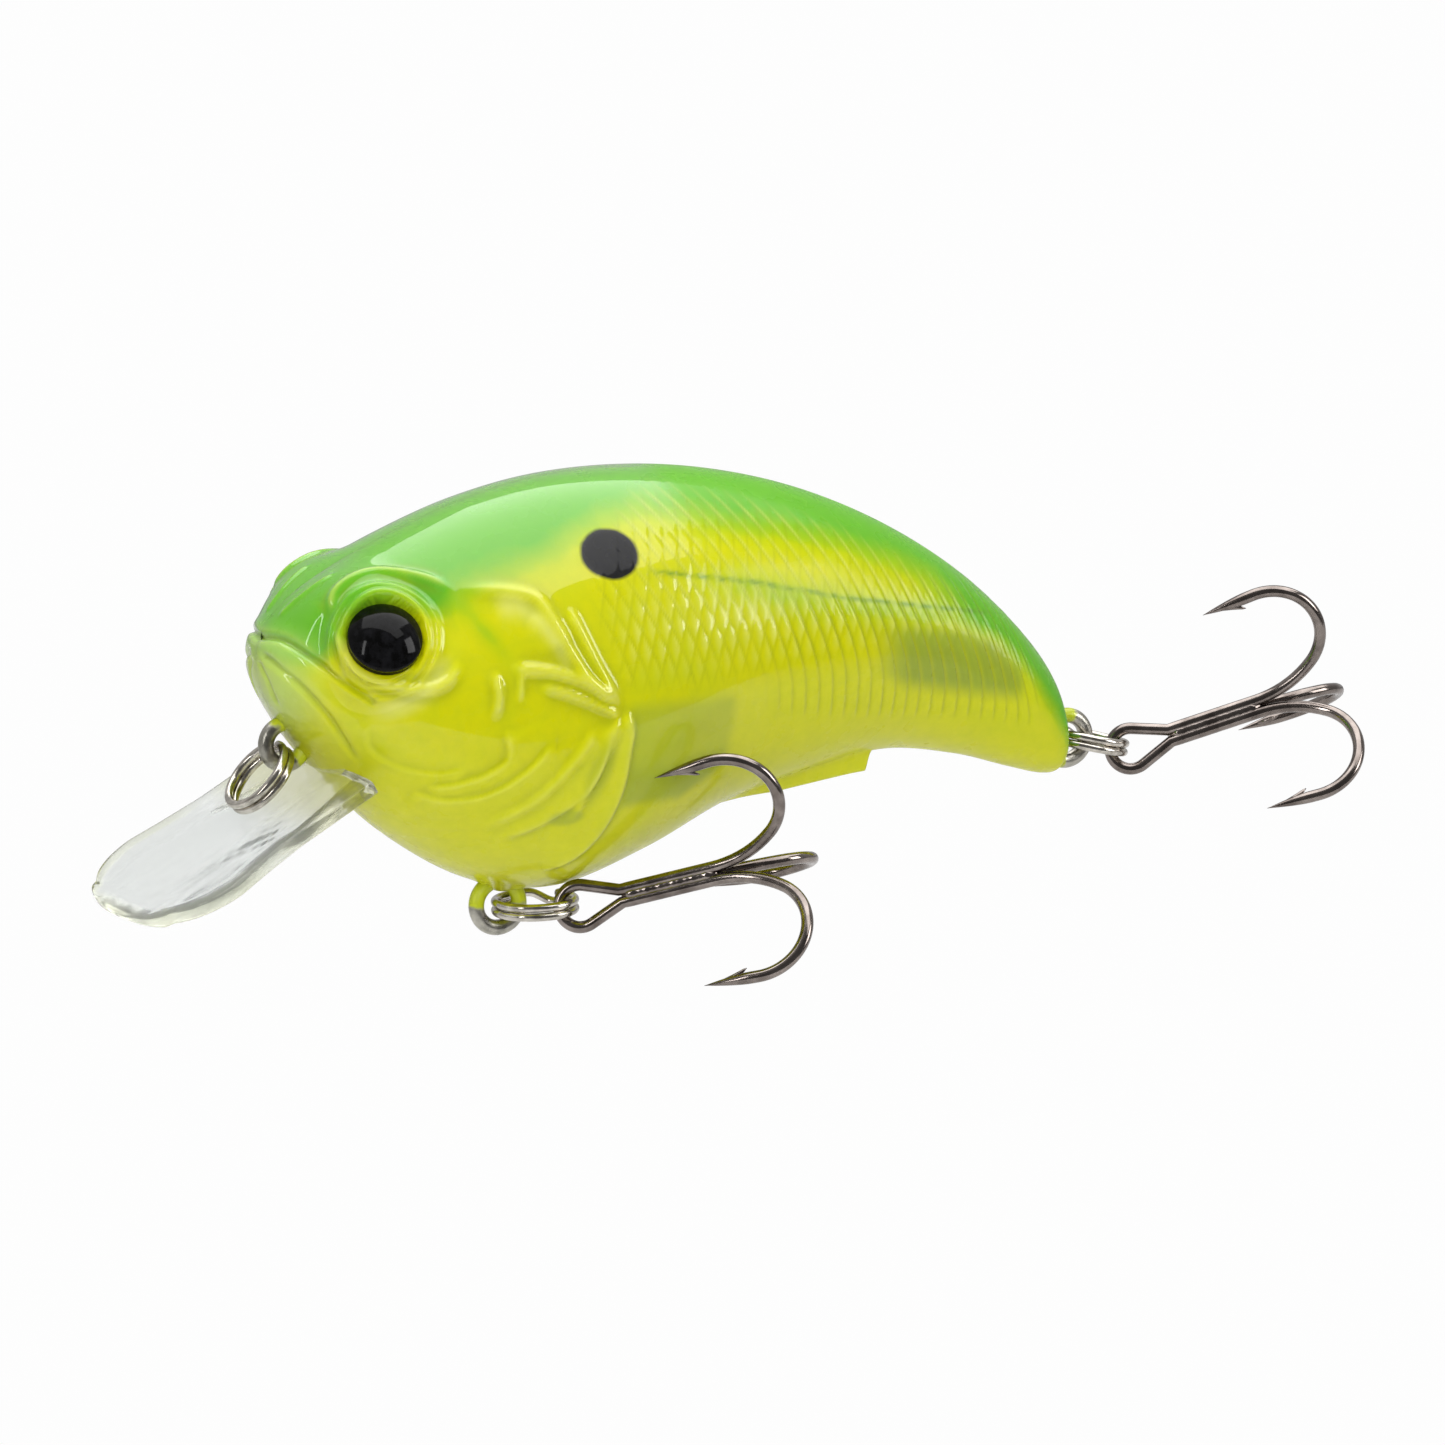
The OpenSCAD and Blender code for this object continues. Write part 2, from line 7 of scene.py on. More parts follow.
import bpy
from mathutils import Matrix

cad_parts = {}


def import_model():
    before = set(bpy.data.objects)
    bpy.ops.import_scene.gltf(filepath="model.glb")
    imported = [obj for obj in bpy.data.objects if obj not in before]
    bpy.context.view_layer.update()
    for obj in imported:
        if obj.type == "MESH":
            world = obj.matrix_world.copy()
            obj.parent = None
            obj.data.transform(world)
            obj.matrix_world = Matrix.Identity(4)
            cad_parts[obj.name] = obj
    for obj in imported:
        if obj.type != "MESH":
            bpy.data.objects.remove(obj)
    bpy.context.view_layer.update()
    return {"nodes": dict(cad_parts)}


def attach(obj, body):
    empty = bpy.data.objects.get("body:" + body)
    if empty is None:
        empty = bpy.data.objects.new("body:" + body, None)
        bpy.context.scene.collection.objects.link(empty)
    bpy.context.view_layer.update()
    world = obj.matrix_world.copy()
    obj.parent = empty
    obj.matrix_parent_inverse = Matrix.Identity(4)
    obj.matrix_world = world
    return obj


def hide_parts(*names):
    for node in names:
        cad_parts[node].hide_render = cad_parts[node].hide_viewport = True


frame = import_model()

import math

import bpy
import numpy as np
from mathutils import Matrix, Vector

MM = 0.001

# ---------------------------------------------------------------- driving dimensions

# Body stations from the nose to the tail: x, top, bottom, half width
STATIONS = np.array([
    [-2.00, 5.50, 5.50, 0],
    [-1.80, 6.75, 4.10, 1.7],
    [-1.05, 7.95, 2.40, 3.3],
    [0.75, 9.55, -0.20, 5.2],
    [3.70, 11.20, -3.50, 7.1],
    [7.60, 12.90, -6.90, 8.5],
    [12.5, 14.60, -9.65, 9.3],
    [18.0, 15.70, -10.55, 9.4],
    [24.0, 15.90, -8.80, 9.1],
    [30.0, 15.25, -6.20, 8.4],
    [36.0, 13.70, -4.70, 7.6],
    [42.0, 11.10, -3.80, 6.3],
    [47.5, 7.65, -4.55, 5.0],
    [51.8, 3.80, -5.80, 3.9],
    [54.3, 0.60, -6.45, 3.0],
    [55.35, -2.40, -6.15, 2.0],
    [55.70, -4.30, -4.30, 0],
])
SQUARENESS_ABOVE = 2.15
SQUARENESS_BELOW = 1.9
BROW_AT = (3.0, 9.2)
BROW_REACH = 4.0
BROW_HEIGHT = 1.9
# Half of the gap between the two halves of the shell
WELD = 0.01
SKIN_ROWS, SKIN_COLUMNS = 500, 190
SCALE_PITCH = 1.04

EYE_AT = np.array([3.75, 6.8, 7.49])
EYE_FACES = np.array([-0.2, 0.78, 0.59]) / np.linalg.norm([-0.2, 0.78, 0.59])
EYE_R = 2.35
EYE_SOCKET_DEPTH = 0.75
EYE_SEAT_SPARE = 0.1
EYE_DISC_TOP = 0.27
EYE_DOME_H = 1.35
EYE_RIM = 0.3
# Beads and bowl round the eye: radius, width, height
EYE_RINGS = [(2.75, 0.18, 0.15), (3.08, 0.14, -0.10), (3.38, 0.14, 0.10), (3.95, 0.45, -0.20)]

BELLY_AT = (14.66, 0, -11.52)
TAIL_AT = (56.28, 0, -4.32)

WIRE_R = 0.5
HANGER_GAP = 0.06
ANCHOR_R = 1.1
SPLIT_WIRE_R = 0.27
SPLIT_PITCH = 0.57
SPLIT_MEAN_R = 2.53
TIE_MEAN_R = 2.33
# Degrees along the coil
COIL_START, COIL_END = 24, 696
JOG_START, JOG_END = 342, 378

HOOK_WIRE_R = 0.39
THIRD_PRONG = -6
HOOK_GAPE = 7.95
SHANK_LENGTH = 8.75
HOOK_EYE_R = 1.34
HOOK_SLACK = 0.43
OUTER_BEND_R = 6.9
INNER_BEND_R = 3.35
FINAL_HEADING = 184
POINT_LENGTH = 3.5
# Where the two legs of the double hook's eye come together
EYE_LEGS_MEET = 2.7
BARB_AT = 1.15
# The barb from its root to its tip: distance along the point, lift off it, radius
BARB_SPINE = [
    (0.95, 0.10, 0.16), (0.45, 0.22, 0.19), (0, 0.42, 0.16), (-0.30, 0.62, 0.09), (-0.48, 0.72, 0.02)
]

LIP_ANGLE = 29
LIP_DROP = -2.6
LIP_ROOT = -2.8
LIP_REACH = 13.5
LIP_HALF_WIDTH = 8.25
LIP_NECK = 7.3
LIP_THICKNESS = 1.3

# Brightness of the white that the camera sees
WHITE_LEVEL = 0.985
# Pieces that keep the CAD's own shape, and their materials
PLAIN_NODES = {
    "left_eye_disc": "eye", "right_eye_disc": "eye", "ballast_ball": "ball", "front_rattle_ball": "ball",
    "rear_rattle_ball": "ball", "tail_ball_front": "ball", "tail_ball_rear": "ball",
}


# ---------------------------------------------------------------- small tools

def smoothstep(low, high, value):
    """0 at low, 1 at high and smooth between them; low may be the greater of the two."""
    t = np.clip((value - low) / (high - low), 0, 1)
    return t * t * (3 - 2 * t)


def bell(value, width):
    """1 where a value is 0, falling off on both sides."""
    return np.exp(-(value / width) ** 2)


def height_at(line, x):
    """Height at x of a line of (x, height) points."""
    places, heights = zip(*line)
    return np.interp(x, places, heights)


def catmull_rom(a, b, c, d, t):
    """Smooth curve from b, where t is 0, to c, where t is 1; a and d are the points beyond them."""
    return 0.5 * (2 * b + (c - a) * t + (2 * a - 5 * b + 4 * c - d) * t ** 2
                  + (3 * b - a - 3 * c + d) * t ** 3)


def spline_points(points, per_span=10):
    """Smooth curve through points, whatever their number of columns."""
    p = np.asarray(points, float)
    p = np.vstack([2 * p[0] - p[1], p, 2 * p[-1] - p[-2]])
    out = []
    for i in range(1, len(p) - 2):
        for t in np.arange(per_span) / per_span:
            out.append(catmull_rom(*p[i - 1:i + 3], t))
    out.append(p[-2])
    return np.array(out)


def mesh_object(name, points, faces, body, material):
    """A mesh from points in millimetres that rides on a CAD body."""
    mesh = bpy.data.meshes.new(name)
    mesh.from_pydata((np.asarray(points) * MM).tolist(), [], [list(map(int, f)) for f in faces])
    mesh.polygons.foreach_set("use_smooth", [True] * len(mesh.polygons))
    mesh.update()
    obj = bpy.data.objects.new(name, mesh)
    bpy.context.scene.collection.objects.link(obj)
    mesh.materials.append(material)
    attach(obj, body)
    return obj


def add_attribute(obj, name, values):
    """A number for each point of a mesh, which its material reads."""
    layer = obj.data.attributes.new(name, "FLOAT", "POINT")
    layer.data.foreach_set("value", np.asarray(values, np.float32))


def grid_faces(rows, columns, wrap):
    """Quads between rows of points; wrap joins each row's last point to its first."""
    last = columns if wrap else columns - 1
    i, j = np.meshgrid(np.arange(rows - 1), np.arange(last), indexing="ij")
    a = i * columns + j
    b = i * columns + (j + 1) % columns
    return np.stack([a, b, b + columns, a + columns], -1).reshape(-1, 4).tolist()


# ---------------------------------------------------------------- node helpers

class Nodes:
    """Short names for building the node tree of one material, or of a world."""

    def __init__(self, name, kind="materials"):
        self.owner = getattr(bpy.data, kind).new(name)
        self.owner.use_nodes = True
        self.tree = self.owner.node_tree
        self.shader = self.tree.nodes.get("Principled BSDF")

    def new(self, kind, **settings):
        node = self.tree.nodes.new(kind)
        for key, value in settings.items():
            setattr(node, key, value)
        return node

    def put(self, value, socket):
        """Puts a number, a colour, a vector or another node's output into a socket."""
        if isinstance(value, bpy.types.NodeSocket):
            self.tree.links.new(value, socket)
        elif socket.type == "RGBA":
            socket.default_value = (*value, 1.0)
        else:
            socket.default_value = value

    def set(self, **values):
        for key, value in values.items():
            self.put(value, self.shader.inputs[key.replace("_", " ")])

    def attribute(self, name):
        return self.new("ShaderNodeAttribute", attribute_name=name).outputs["Fac"]

    def noise(self, scale, detail=2.0, rough=0.5, stretch=None):
        node = self.new("ShaderNodeTexNoise")
        for key, number in (("Scale", scale), ("Detail", detail), ("Roughness", rough)):
            node.inputs[key].default_value = number
        place = self.new("ShaderNodeTexCoord").outputs["Object"]
        if stretch is not None:
            mapping = self.new("ShaderNodeMapping")
            mapping.inputs["Scale"].default_value = stretch
            self.put(place, mapping.inputs["Vector"])
            place = mapping.outputs["Vector"]
        self.put(place, node.inputs["Vector"])
        return node.outputs["Fac"]

    def math(self, operation, a, b):
        node = self.new("ShaderNodeMath", operation=operation)
        self.put(a, node.inputs[0])
        self.put(b, node.inputs[1])
        return node.outputs[0]

    def remap(self, value, low, high, to_low=0.0, to_high=1.0):
        node = self.new("ShaderNodeMapRange")
        self.put(value, node.inputs["Value"])
        for key, number in zip(("From Min", "From Max", "To Min", "To Max"), (low, high, to_low, to_high)):
            node.inputs[key].default_value = number
        return node.outputs["Result"]

    def mix(self, amount, a, b):
        node = self.new("ShaderNodeMix", data_type="RGBA")
        # Inputs 6 and 7 and output 2 are the node's colour sockets
        for value, place in ((amount, 0), (a, 6), (b, 7)):
            self.put(value, node.inputs[place])
        return node.outputs[2]

    def choose(self, amount, first, second, output):
        """Sends one shader to the tree's output where an amount is 0, and another where it is 1."""
        node = self.new("ShaderNodeMixShader")
        for value, socket in zip((amount, first, second), node.inputs):
            self.put(value, socket)
        self.put(node.outputs[0], self.tree.nodes[output].inputs["Surface"])

    def bump(self, height, strength, distance):
        node = self.new("ShaderNodeBump")
        node.inputs["Strength"].default_value = strength
        node.inputs["Distance"].default_value = distance
        self.put(height, node.inputs["Height"])
        self.set(Normal=node.outputs["Normal"])


def linear(red, green, blue):
    """Linear colour from 0..255 display values."""
    def one(value):
        value /= 255
        return value / 12.92 if value <= 0.04045 else ((value + 0.055) / 1.055) ** 2.4

    return (one(red), one(green), one(blue))


# ---------------------------------------------------------------- materials

PAINT = {
    "yellow": linear(204, 204, 0),
    "pale": linear(206, 208, 30),
    "grain": linear(182, 192, 14),
    "shade": linear(140, 158, 52),
    "lime": linear(168, 192, 10),
    "green": linear(98, 172, 34),
    "mint": linear(178, 212, 110),
    # Painted highlight on the scales, the crests of the head's folds, the gill plate's corner and the eye's
    # bowl
    "painted_highlight": linear(224, 226, 120),
    # Painted shade in the lines between scales, in the rib grooves and in the head's creases
    "crease_shade": linear(138, 150, 20),
    "stripe": linear(96, 140, 40),
    "spot": linear(24, 24, 26),
    "on_wire": linear(176, 186, 24),
}


def body_colour(n, mottle):
    """The shell's paints, with painted highlights and painted shade among them, laid one over another where
    its attributes say.
    """
    patches = n.remap(n.noise(60, 2, 0.5), 0.3, 0.7, -0.12, 0.12)
    specks = n.remap(mottle, 0.35, 0.65, -0.05, 0.05)
    sprayed = n.math("ADD", n.math("ADD", n.attribute("green"), patches), specks)
    dots = n.remap(n.noise(1500, 1), 0.4, 0.6, 0.4, 1.0)
    ragged_spot = n.math("ADD", n.attribute("spot"), n.remap(mottle, 0.3, 0.7, -0.1, 0.1))
    layers = (
        ("pale", n.attribute("pale")),
        ("grain", n.remap(n.noise(1300, 4, 0.7), 0.38, 0.68, 0.0, 0.30)),
        ("shade", n.attribute("shade")),
        ("lime", n.math("MULTIPLY", n.remap(sprayed, 0.05, 0.5), 0.8)),
        ("green", n.remap(sprayed, 0.35, 0.95)),
        ("mint", n.attribute("mint")),
        # Painted highlight, then painted shade in the creases and in the lines between scales
        ("painted_highlight", n.attribute("painted_highlight")),
        # Painted shade in the creases, the rib grooves and the lines between scales
        ("crease_shade", n.attribute("crease_shade")),
        ("stripe", n.math("MULTIPLY", n.attribute("stripe"), dots)),
        ("spot", n.remap(ragged_spot, 0.3, 0.7)),
    )
    colour = PAINT["yellow"]
    for paint, amount in layers:
        colour = n.mix(amount, colour, PAINT[paint])
    return colour


def body_material():
    """Tinted plastic under sprayed paint, with a gloss coat as strong as the skin says."""
    n = Nodes("tinted_shell")
    mottle = n.noise(420, 3, 0.55)
    n.set(Base_Color=body_colour(n, mottle), Roughness=n.remap(mottle, 0.3, 0.7, 0.22, 0.34), IOR=1.5,
          Specular_IOR_Level=0.12, Coat_Weight=n.attribute("gloss"), Coat_Roughness=0.03, Coat_IOR=1.45,
          Subsurface_Weight=0.35, Subsurface_Scale=0.003, Subsurface_Radius=(1.0, 1.0, 0.25))
    n.bump(mottle, 0.05, 0.0002)
    return n.owner


def lip_material():
    """Clear plastic, with the body's yellow as seen through it painted at its root, and yellower round its
    rim.
    """
    n = Nodes("clear_lip")
    tint = n.mix(n.remap(n.noise(90, 2), 0.3, 0.7, 0.0, 0.5), (0.96, 0.98, 0.97), (0.91, 0.95, 0.92))
    # Painted at the root: the body's yellow as seen through the clear lip
    tint = n.mix(n.attribute("root"), tint, (0.80, 0.80, 0.50))
    tint = n.mix(n.attribute("rim"), tint, (0.86, 0.88, 0.66))
    roughness = n.remap(n.noise(700, 2), 0.3, 0.7, 0.08, 0.16)
    n.set(Base_Color=tint, Roughness=roughness, IOR=1.3, Transmission_Weight=0.94)
    n.bump(n.noise(240, 2, 0.5, stretch=(0.4, 1.0, 1.0)), 0.25, 0.0004)
    return n.owner


def eye_material():
    """Black under a hard clear dome."""
    n = Nodes("eye_dome")
    fleck = n.noise(2200, 2)
    black = n.mix(n.remap(fleck, 0.4, 0.7), (0.002, 0.002, 0.002), (0.007, 0.007, 0.008))
    roughness = n.remap(fleck, 0.3, 0.7, 0.05, 0.12)
    n.set(Base_Color=black, Roughness=roughness, IOR=1.42, Specular_IOR_Level=0.16)
    return n.owner


def metal_material(name, light, dark, rough, streak_scale, paint=None):
    """Plated or drawn wire: streaked colour and roughness, with body paint where the piece says."""
    n = Nodes(name)
    streak = n.noise(streak_scale, 4, 0.6)
    colour = n.mix(n.remap(streak, 0.35, 0.65), linear(*dark), linear(*light))
    metallic = 1.0
    if paint is not None:
        ragged = n.math("ADD", n.attribute("paint"), n.remap(n.noise(900, 3), 0.3, 0.7, -0.2, 0.2))
        cover = n.remap(ragged, 0.4, 0.6)
        colour = n.mix(cover, colour, paint)
        metallic = n.math("SUBTRACT", 1.0, cover)
    roughness = n.remap(n.noise(streak_scale * 1.7, 3), 0.3, 0.7, *rough)
    n.set(Base_Color=colour, Metallic=metallic, Roughness=roughness)
    n.bump(streak, 0.12, 0.00005)
    return n.owner


def make_materials():
    bright, grey, smoky, steel = (205, 201, 190), (222, 216, 206), (158, 148, 142), (190, 190, 192)
    return {
        "shell": body_material(),
        "lip": lip_material(),
        "eye": eye_material(),
        "wire": metal_material("hanger_wire", bright, (150, 148, 138), (0.25, 0.4), 900, PAINT["on_wire"]),
        "ring": metal_material("nickel_ring", grey, (170, 164, 154), (0.12, 0.22), 1200),
        "hook": metal_material("black_nickel", smoky, (112, 103, 98), (0.10, 0.2), 600),
        "ball": metal_material("steel_ball", steel, (150, 150, 152), (0.2, 0.35), 700),
    }


# ---------------------------------------------------------------- body skin

def station_columns(u):
    """x, top, bottom and half width at places u along the body."""
    last = len(STATIONS) - 1
    i = np.minimum(np.floor(u).astype(int), last - 1)
    t = (u - i)[:, None]
    a, b = STATIONS[np.maximum(i - 1, 0)], STATIONS[i]
    c, d = STATIONS[i + 1], STATIONS[np.minimum(i + 2, last)]
    return catmull_rom(a, b, c, d, t).T


def even_places(count):
    """Places u from the nose to the tail that are about evenly spaced over the skin."""
    fine = np.linspace(0.02, len(STATIONS) - 1.02, 4000)
    x, top, bottom, half = station_columns(fine)
    step = np.sqrt(np.diff(x) ** 2 + 0.2 * np.diff(top) ** 2 + 0.2 * np.diff(bottom) ** 2
                   + 0.2 * np.diff(half) ** 2)
    along = np.concatenate([[0], np.cumsum(step)])
    return np.interp(np.linspace(0, along[-1], count), along, fine)


def bare_skin(u, a):
    """Points of the right half of the skin: rows at places u, columns at angles a, with the brow."""
    x, top, bottom, half_width = (column[:, None] for column in station_columns(u))
    half = (top - bottom) / 2
    power = 2 / np.where(a < 0, SQUARENESS_BELOW, SQUARENESS_ABOVE)[None, :]
    cos_a = np.maximum(np.cos(a), 0)[None, :]
    sin_a = np.sin(a)[None, :]
    y = np.maximum(half_width, 0) * cos_a ** power
    z = (top + bottom) / 2 + half * np.sign(sin_a) * np.abs(sin_a) ** power
    x = np.broadcast_to(x, y.shape)
    d = np.hypot(x - BROW_AT[0], z - BROW_AT[1]) / BROW_REACH
    out = BROW_HEIGHT * np.maximum(1 - d * d, 0) ** 2 * cos_a
    return np.stack([x, WELD + y + out * 0.35, z + out * 0.9], -1)


def skin_normals(points):
    """Unit normals of a grid of skin points, outwards from the middle of each row."""
    normal = np.cross(np.gradient(points, axis=1), np.gradient(points, axis=0))
    length = np.linalg.norm(normal, axis=-1, keepdims=True)
    normal = normal / np.maximum(length, 1e-9)
    middle = points[..., 2].mean(1, keepdims=True)
    outward = normal[..., 1] * points[..., 1] + normal[..., 2] * (points[..., 2] - middle)
    return normal * np.sign(outward.mean())


class Relief:
    """Adds up how far the skin stands out, in millimetres, from lines and regions on it."""

    def __init__(self, points):
        self.points = points
        self.height = np.zeros(points.shape[:-1])

    def line_distance(self, line, columns):
        """Distance to a curve, its signed side, and the place along it from 0 to 1."""
        flat = self.points.reshape(-1, 3)[:, columns]
        if len(columns) == 3:
            line = [flat[np.argmin(((flat - p) ** 2).sum(1))] for p in np.asarray(line)]
        curve = spline_points(line, 6)
        best = np.full(len(flat), 1e9)
        side = np.zeros(len(flat))
        place = np.zeros(len(flat))
        low, high = curve.min(0) - 3, curve.max(0) + 3
        near = np.nonzero(((flat > low) & (flat < high)).all(1))[0]
        p = flat[near]
        b, s, w = best[near], side[near], place[near]
        for i in range(len(curve) - 1):
            start, way = curve[i], curve[i + 1] - curve[i]
            t = np.clip(((p - start) @ way) / (way @ way), 0, 1)
            off = p - start - t[:, None] * way
            d = np.linalg.norm(off, axis=1)
            closer = d < b
            b = np.where(closer, d, b)
            w = np.where(closer, (i + t) / (len(curve) - 1), w)
            if len(columns) == 2:
                s = np.where(closer, np.sign(way[0] * off[:, 1] - way[1] * off[:, 0]), s)
        best[near], side[near], place[near] = b, s, w
        shape = self.height.shape
        return best.reshape(shape), side.reshape(shape), place.reshape(shape)

    def ridge(self, line, height, width, columns=(0, 2), fade=0.15):
        """A rounded ridge, or a groove where height is negative, that fades in and out at its ends."""
        d, _, place = self.line_distance(line, list(columns))
        ends = smoothstep(0, fade, place) * smoothstep(0, fade, 1 - place) if fade else 1.0
        self.height += height * bell(d, width) * ends

    def plate_edge(self, line, height, drop, reach, sign, fade=0.12):
        """A plate that ends at a line: a sharp drop on one side, a long slope into the skin on the other."""
        d, side, place = self.line_distance(line, [0, 2])
        ahead = d * side * sign
        ends = smoothstep(0, fade, place) * smoothstep(0, fade, 1 - place)
        rise = np.where(ahead > 0, np.exp(-ahead / reach), 1 - smoothstep(0, drop, -ahead))
        self.height += height * rise * ends


# Ridges: line on the side as (x, z), height, width, and how much of each end fades
SIDE_RIDGES = [
    # Top of the gill cover
    ([(8.6, 9.9), (11.1, 9.9), (13.4, 9.3), (14.4, 7.6), (15.7, 5.2), (17.2, 3.4), (18.8, 2.1)],
     0.26, 0.36, 0.15),
    # Its back edge
    ([(15.4, 8.7), (16.3, 6.6), (17.2, 4.7), (18.6, 2.4)], 0.24, 0.30, 0.15),
    # Upper branch
    ([(11.1, 5.2), (13.6, 4.9), (16.0, 4.1), (18.2, 2.7)], 0.30, 0.38, 0.15),
    # Lower branch
    ([(12.9, 4.0), (15.2, 3.3), (17.2, 2.4), (18.7, 1.6)], 0.26, 0.26, 0.15),
    # Back ray below the branches
    ([(18.4, 1.8), (18.0, -0.1), (17.0, -2.5), (15.9, -5.2)], 0.16, 0.28, 0.15),
    # Front ray
    ([(16.9, 1.0), (15.8, -0.7), (13.2, -3.4), (10.4, -5.0)], 0.16, 0.34, 0.15),
    # Cheek bone
    ([(10.1, 5.3), (10.35, 3.6), (10.1, 1.9)], 0.34, 0.30, 0.35),
    # Bone behind it
    ([(11.9, 5.2), (11.7, 2.9)], 0.20, 0.22, 0.35),
    # Broad swelling at the gill cover's corner
    ([(12.6, 8.3), (14.0, 7.4), (14.8, 5.9)], 0.16, 1.1, 0.3),
]
# The same with lines in space near the skin, as (x, y, z); a height below zero makes a groove
SKIN_RIDGES = [
    # Brow above the eye
    ([(1.1, 4.5, 8.4), (2.0, 3.7, 9.7), (3.9, 3.8, 10.7), (5.5, 4.3, 10.9), (6.9, 5.3, 10.7),
      (8.7, 6.8, 9.8)],
     0.30, 0.34, 0.15),
    # Rim in front of the eye and below it
    ([(1.1, 4.7, 8.2), (1.3, 5.6, 6.8), (1.8, 6.0, 5.7), (2.6, 6.6, 5.1), (3.9, 7.2, 4.5),
      (5.6, 7.8, 4.1), (7.2, 8.3, 4.6), (8.3, 8.4, 6.0)],
     0.40, 0.38, 0.15),
    # Snout
    ([(-0.9, 0.9, 8.1), (0.1, 1.2, 9.0), (1.2, 1.6, 9.8), (2.9, 2.0, 10.8)], 0.14, 0.25, 0.15),
    # Mouth
    ([(-2.3, 0.0, 7.1), (-1.2, 2.3, 7.0), (-0.3, 4.0, 6.2), (0.7, 5.1, 5.2), (1.6, 5.8, 4.4),
      (2.9, 6.6, 3.4)],
     -0.34, 0.24, 0),
    # Lower lip
    ([(-2.2, 0.6, 5.9), (-1.7, 1.9, 5.6), (-0.6, 3.7, 4.2), (1.0, 4.6, 2.1), (3.1, 4.6, -0.8)],
     -0.24, 0.26, 0.15),
    # Chin
    ([(-2.1, 0.5, 5.6), (-1.7, 1.3, 4.3), (-1.0, 1.4, 2.7)], -0.14, 0.2, 0.15),
]
# Plates: line as (x, z), height, width of the drop, reach of the slope, and the side of the line it lies on
PLATE_EDGES = [
    # Gill cover's outer edge
    ([(18.9, 2.1), (19.4, 0.7), (19.3, -0.6), (19.1, -3.2), (18.4, -5.7), (17.2, -7.5), (15.3, -8.7)],
     0.32, 0.5, 1.6, -1),
    # Gill cover's inner edge
    ([(18.1, 1.7), (17.6, -0.1), (17.2, -1.8), (16.5, -3.0), (15.6, -3.9), (13.7, -5.1), (11.4, -6.0)],
     0.20, 0.45, 1.2, -1),
    # Fold behind the jaw
    ([(10.9, 1.6), (11.2, -0.4), (10.2, -1.4), (8.6, -2.0), (6.4, -2.3)], 0.22, 0.35, 1.4, 1),
    # Fold below it
    ([(14.2, 0.4), (12.4, -1.5), (10.0, -2.9), (7.6, -3.1), (5.8, -2.6)], 0.20, 0.35, 1.2, 1),
    # Oval below the eye
    ([(2.5, 2.2), (3.0, 0.3), (4.6, -0.9), (6.8, -1.4), (8.8, -1.1)], 0.14, 0.4, 1.6, -1),
]

# Borders of the scales and colours on the side, and the depth of the keel, as (x, height)
SCALES_MIDDLE = [(14, 4.5), (24, 5.0), (36, 5.6), (48, 3.2), (55, -2.0)]
SCALES_TOP = [(15, 9.5), (19, 13.6), (24, 15.0), (30, 13.8), (37, 11.4), (45, 7.2), (52, 1.5)]
SCALES_LOW = [(15, 7.0), (17.5, 3.6), (24, 2.9), (32, 4.0), (40, 4.4), (47, 3.4), (52, 0.0)]
SCALES_GLINT = [(18, 2.2), (26, 1.6), (36, 0.6), (46, 0.0)]
RIBS_LOW = [(28, 1.2), (34, 0.2), (40, -0.6), (46, -1.2), (51, -2.2)]
KEEL = [(29.5, 0), (31, 0.25), (34, 0.8), (38, 1.1), (40.45, 1.25), (40.55, 0)]
GREEN_EDGE = [
    (-2, 6.0), (0, 6.2), (1.5, 7.4), (3.2, 9.0), (6, 9.8), (8, 9.4), (9.5, 9.6), (12, 10.6), (15.6, 11.8),
    (19, 13.0), (22, 13.3), (25.6, 12.7), (31, 11.6), (36.6, 10.2), (41, 8.6), (44.7, 6.6), (48, 4.1),
    (51.2, 0.8), (54, -3.0), (56, -6.0),
]
PALE_EDGE = [
    (-2, 6.5), (2, 3.4), (5.6, 1.2), (10, -1.0), (14.6, -0.9), (19, 1.2), (24, 2.0), (29, 2.9), (40, 3.4),
    (48.8, 2.4), (52, 3.0), (56, 3.0),
]
SIDE_BAND = [(20, 10.2), (28.5, 8.8), (36, 7.1), (44.5, 5.5), (50, 4.4)]
STRIPE = [(20, 10.6), (28.5, 9.2), (36, 7.5), (44.5, 5.9), (50, 4.8)]
CHAMBER_LOW = [(19, -4.4), (24, -4.4), (27.6, -2.2)]
TAIL_TUBE_TOP = [(37, 5.4), (41, 5.2), (46, 4.4), (50.5, 3.0)]
TAIL_TUBE_LOW = [(37, 2.6), (41, 1.2), (46, 0.2), (50.5, -0.6)]
# Strengths of the painted highlight on the crests and painted shade in the creases of the head's fine folds,
# and of the ribs in the tail's shade
FOLD_LIGHT_AND_SHADE = 0.30
RIB_LIGHT = 0.55


def face_relief(relief):
    """The ridges, plates and grooves of the head."""
    for line, height, width, fade in SIDE_RIDGES:
        relief.ridge(line, height, width, fade=fade)
    for line, height, drop, reach, sign in PLATE_EDGES:
        relief.plate_edge(line, height, drop, reach, sign)
    for line, height, width, fade in SKIN_RIDGES:
        relief.ridge(line, height, width, (0, 1, 2), fade)


def from_eye(points):
    """Offsets from the eye's centre, heights along its axis, distances from the axis, and nearness."""
    off = points - EYE_AT
    up = off @ EYE_FACES
    r = np.linalg.norm(off - up[..., None] * EYE_FACES, axis=-1)
    return off, up, r, smoothstep(7, 5, np.linalg.norm(off, axis=-1))


